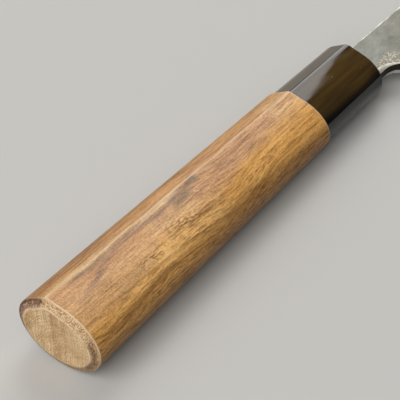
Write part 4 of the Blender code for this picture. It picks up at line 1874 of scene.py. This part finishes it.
def set_down(piece: bpy.types.Object, axes: Sequence[np.ndarray], place: np.ndarray) -> None:
    """Turn a light or camera so that its own X, Y and Z axes point along the given ones, at a place.

    Args:
        piece: the light or camera.
        axes: the directions of its X, Y and Z axes.
        place: its place in the world, in metres.
    """
    matrix = Matrix(np.stack(axes, axis=1).tolist()).to_4x4()
    matrix.translation = place
    piece.matrix_world = matrix


@dataclass(frozen=True)
class Panel:
    """A soft light panel that faces the handle: where it hangs, its size and its brightness."""

    name: str
    azimuth: float
    elevation: float
    distance: float
    width: float
    height: float
    radiance: float
    colour: Colour = (1.0, 1.0, 1.0)

    def build(self, target: np.ndarray) -> bpy.types.Object:
        """Hang the panel. A panel of area A and radiance L shines with L * pi * A watts.

        Args:
            target: the place in the world that it faces.

        Returns:
            The panel.
        """
        light = bpy.data.lights.new(self.name, "AREA")
        light.shape = "RECTANGLE"
        light.size, light.size_y = self.width, self.height
        light.energy = self.radiance * math.pi * self.width * self.height
        light.color = self.colour
        panel = add_object(self.name, light)
        panel.visible_camera = False
        azimuth, elevation = math.radians(self.azimuth), math.radians(self.elevation)
        side = np.array([-math.sin(azimuth), math.cos(azimuth), 0.0])
        away = np.array([math.cos(azimuth) * math.cos(elevation), math.sin(azimuth) * math.cos(elevation),
                         math.sin(elevation)])
        set_down(panel, (side, np.cross(away, side), away), target + away * self.distance)
        return panel


@dataclass
class Studio:
    """A plain pale floor, a soft panel over the handle's right-hand side, one behind its butt, and a fill.

    Camera and mirror rays see a pale room round the floor. Mirror rays also see a dark flag in it, in front
    of the tip, as a darker studio would show in the horn. The target is in the knife's frame.
    """

    floor_radius: float = 12.0
    floor_corners: int = 96
    floor_colour: Colour = srgb(204, 202, 198)
    floor_bounce: float = 0.08
    room_colour: Colour = srgb(192, 190, 186)
    room_start: float = 0.25
    room_end: float = 0.55
    flag_lean: float = 0.62
    flag_width: float = 0.16
    world_strength: float = 0.05
    target: tuple[float, float, float] = (70.0, 0.0, 0.0)
    panels: tuple[Panel, ...] = (
        Panel("key_panel", azimuth=29.0, elevation=36.0, distance=1.0, width=0.54, height=1.16,
              radiance=3.3, colour=(1.0, 0.99, 0.97)),
        Panel("butt_panel", azimuth=184.0, elevation=42.0, distance=1.5, width=1.6, height=1.6,
              radiance=3.2),
    )

    def build(self) -> None:
        """Make floor, world and panels."""
        turns = np.linspace(0, 2 * math.pi, self.floor_corners, endpoint=False)
        rim = np.stack([np.cos(turns), np.sin(turns), np.zeros_like(turns)], axis=-1) * self.floor_radius
        mesh = bpy.data.meshes.new("floor")
        mesh.from_pydata(rim.tolist(), [], [list(range(len(turns)))])
        mesh.materials.append(self.floor_finish())
        floor = add_object("floor", mesh)
        bpy.context.scene.world = self.room()
        for panel in self.panels:
            panel.build(POSE.point(np.array(self.target)))

    def floor_finish(self) -> bpy.types.Material:
        """The floor: lit by the panels near the knife, and as pale as the room further out.

        Returns:
            The material.
        """
        material, graph, shader = new_material("pale_floor")
        rays = graph.node("ShaderNodeLightPath").outputs
        mirror = graph.math("MAXIMUM", rays["Is Glossy Ray"], rays["Is Transmission Ray"])
        seen = graph.math("MAXIMUM", rays["Is Camera Ray"], mirror)
        place = graph.node("ShaderNodeTexCoord").outputs["Object"]
        away = graph.node("ShaderNodeVectorMath", (place,), operation="LENGTH").outputs["Value"]
        far = graph.remap(away, self.room_start, self.room_end)
        dim = tuple(part * self.floor_bounce for part in self.floor_colour)
        graph.fill(shader, {
            "Base Color": graph.mix(far, graph.mix(seen, dim, self.floor_colour), BLACK),
            "Emission Color": graph.mix(graph.product(far, seen), BLACK, self.room_colour),
            "Emission Strength": 1.0,
            "Roughness": 0.9,
            "Specular IOR Level": 0.2,
        })
        return material

    def room(self) -> bpy.types.World:
        """The world: a weak fill, which camera and mirror rays see as a pale room.

        Returns:
            The world.
        """
        world = bpy.data.worlds.new("studio")
        world.use_nodes = True
        graph = Graph(world.node_tree)
        rays = graph.node("ShaderNodeLightPath").outputs
        direction = graph.node("ShaderNodeTexCoord").outputs["Generated"]
        lean = graph.apart(graph.split(direction)[0], self.flag_lean)
        flag = graph.remap(lean, self.flag_width, 2 * self.flag_width, 1.0, 0.0)
        fill = (self.world_strength,) * 3
        mirror = graph.math("MAXIMUM", rays["Is Glossy Ray"], rays["Is Transmission Ray"])
        lit = graph.mix(mirror, fill, graph.mix(flag, self.room_colour, fill))
        colour = graph.mix(rays["Is Camera Ray"], lit, self.room_colour)
        graph.fill(world.node_tree.nodes["Background"], {"Color": colour, "Strength": 1.0})
        return world


@dataclass(frozen=True)
class PhotoCamera:
    """The photograph's viewpoint, fitted to the handle's outline, in the knife's frame."""

    place: tuple[float, float, float] = (-224.24, -179.28, 330.79)
    aim: tuple[float, float, float] = (64.34, 1.88, 0.0)
    roll: float = math.radians(6.02)
    lens: float = 154.36
    sensor: float = 36.0
    clip: tuple[float, float] = (0.01, 50.0)

    def build(self) -> bpy.types.Object:
        """Make the camera: it looks from its place to its aim, rolled about that line.

        Returns:
            The camera.
        """
        forward = np.array(self.aim) - np.array(self.place)
        forward /= np.linalg.norm(forward)
        level_up = np.array([0.0, 0.0, 1.0]) - forward[2] * forward
        level_up /= np.linalg.norm(level_up)
        level_right = np.cross(forward, level_up)
        right = math.cos(self.roll) * level_right + math.sin(self.roll) * level_up
        data = bpy.data.cameras.new("photo_camera")
        data.lens, data.sensor_width = self.lens, self.sensor
        data.clip_start, data.clip_end = self.clip
        camera = add_object("photo_camera", data)
        axes = [POSE.direction(axis) for axis in (right, np.cross(right, forward), -forward)]
        set_down(camera, axes, POSE.point(np.array(self.place)))
        bpy.context.scene.camera = camera
        return camera


def report(piece: bpy.types.Object) -> None:
    """Log a piece's name and its number of faces."""
    LOG.info("%s: %d faces", piece.name, len(piece.data.polygons))


def main() -> None:
    """Build every piece in order, then the studio."""
    logging.basicConfig(level=logging.INFO, format="%(message)s")
    for piece in (WoodHandle(), Ferrule(), NeckSeal(), BladeIron(), BladeSteel()):
        report(piece.build())
    report(Dowel().dress())
    Studio().build()
    PhotoCamera().build()
    bpy.context.scene.view_settings.view_transform = "Standard"


if __name__ == "__main__":
    main()
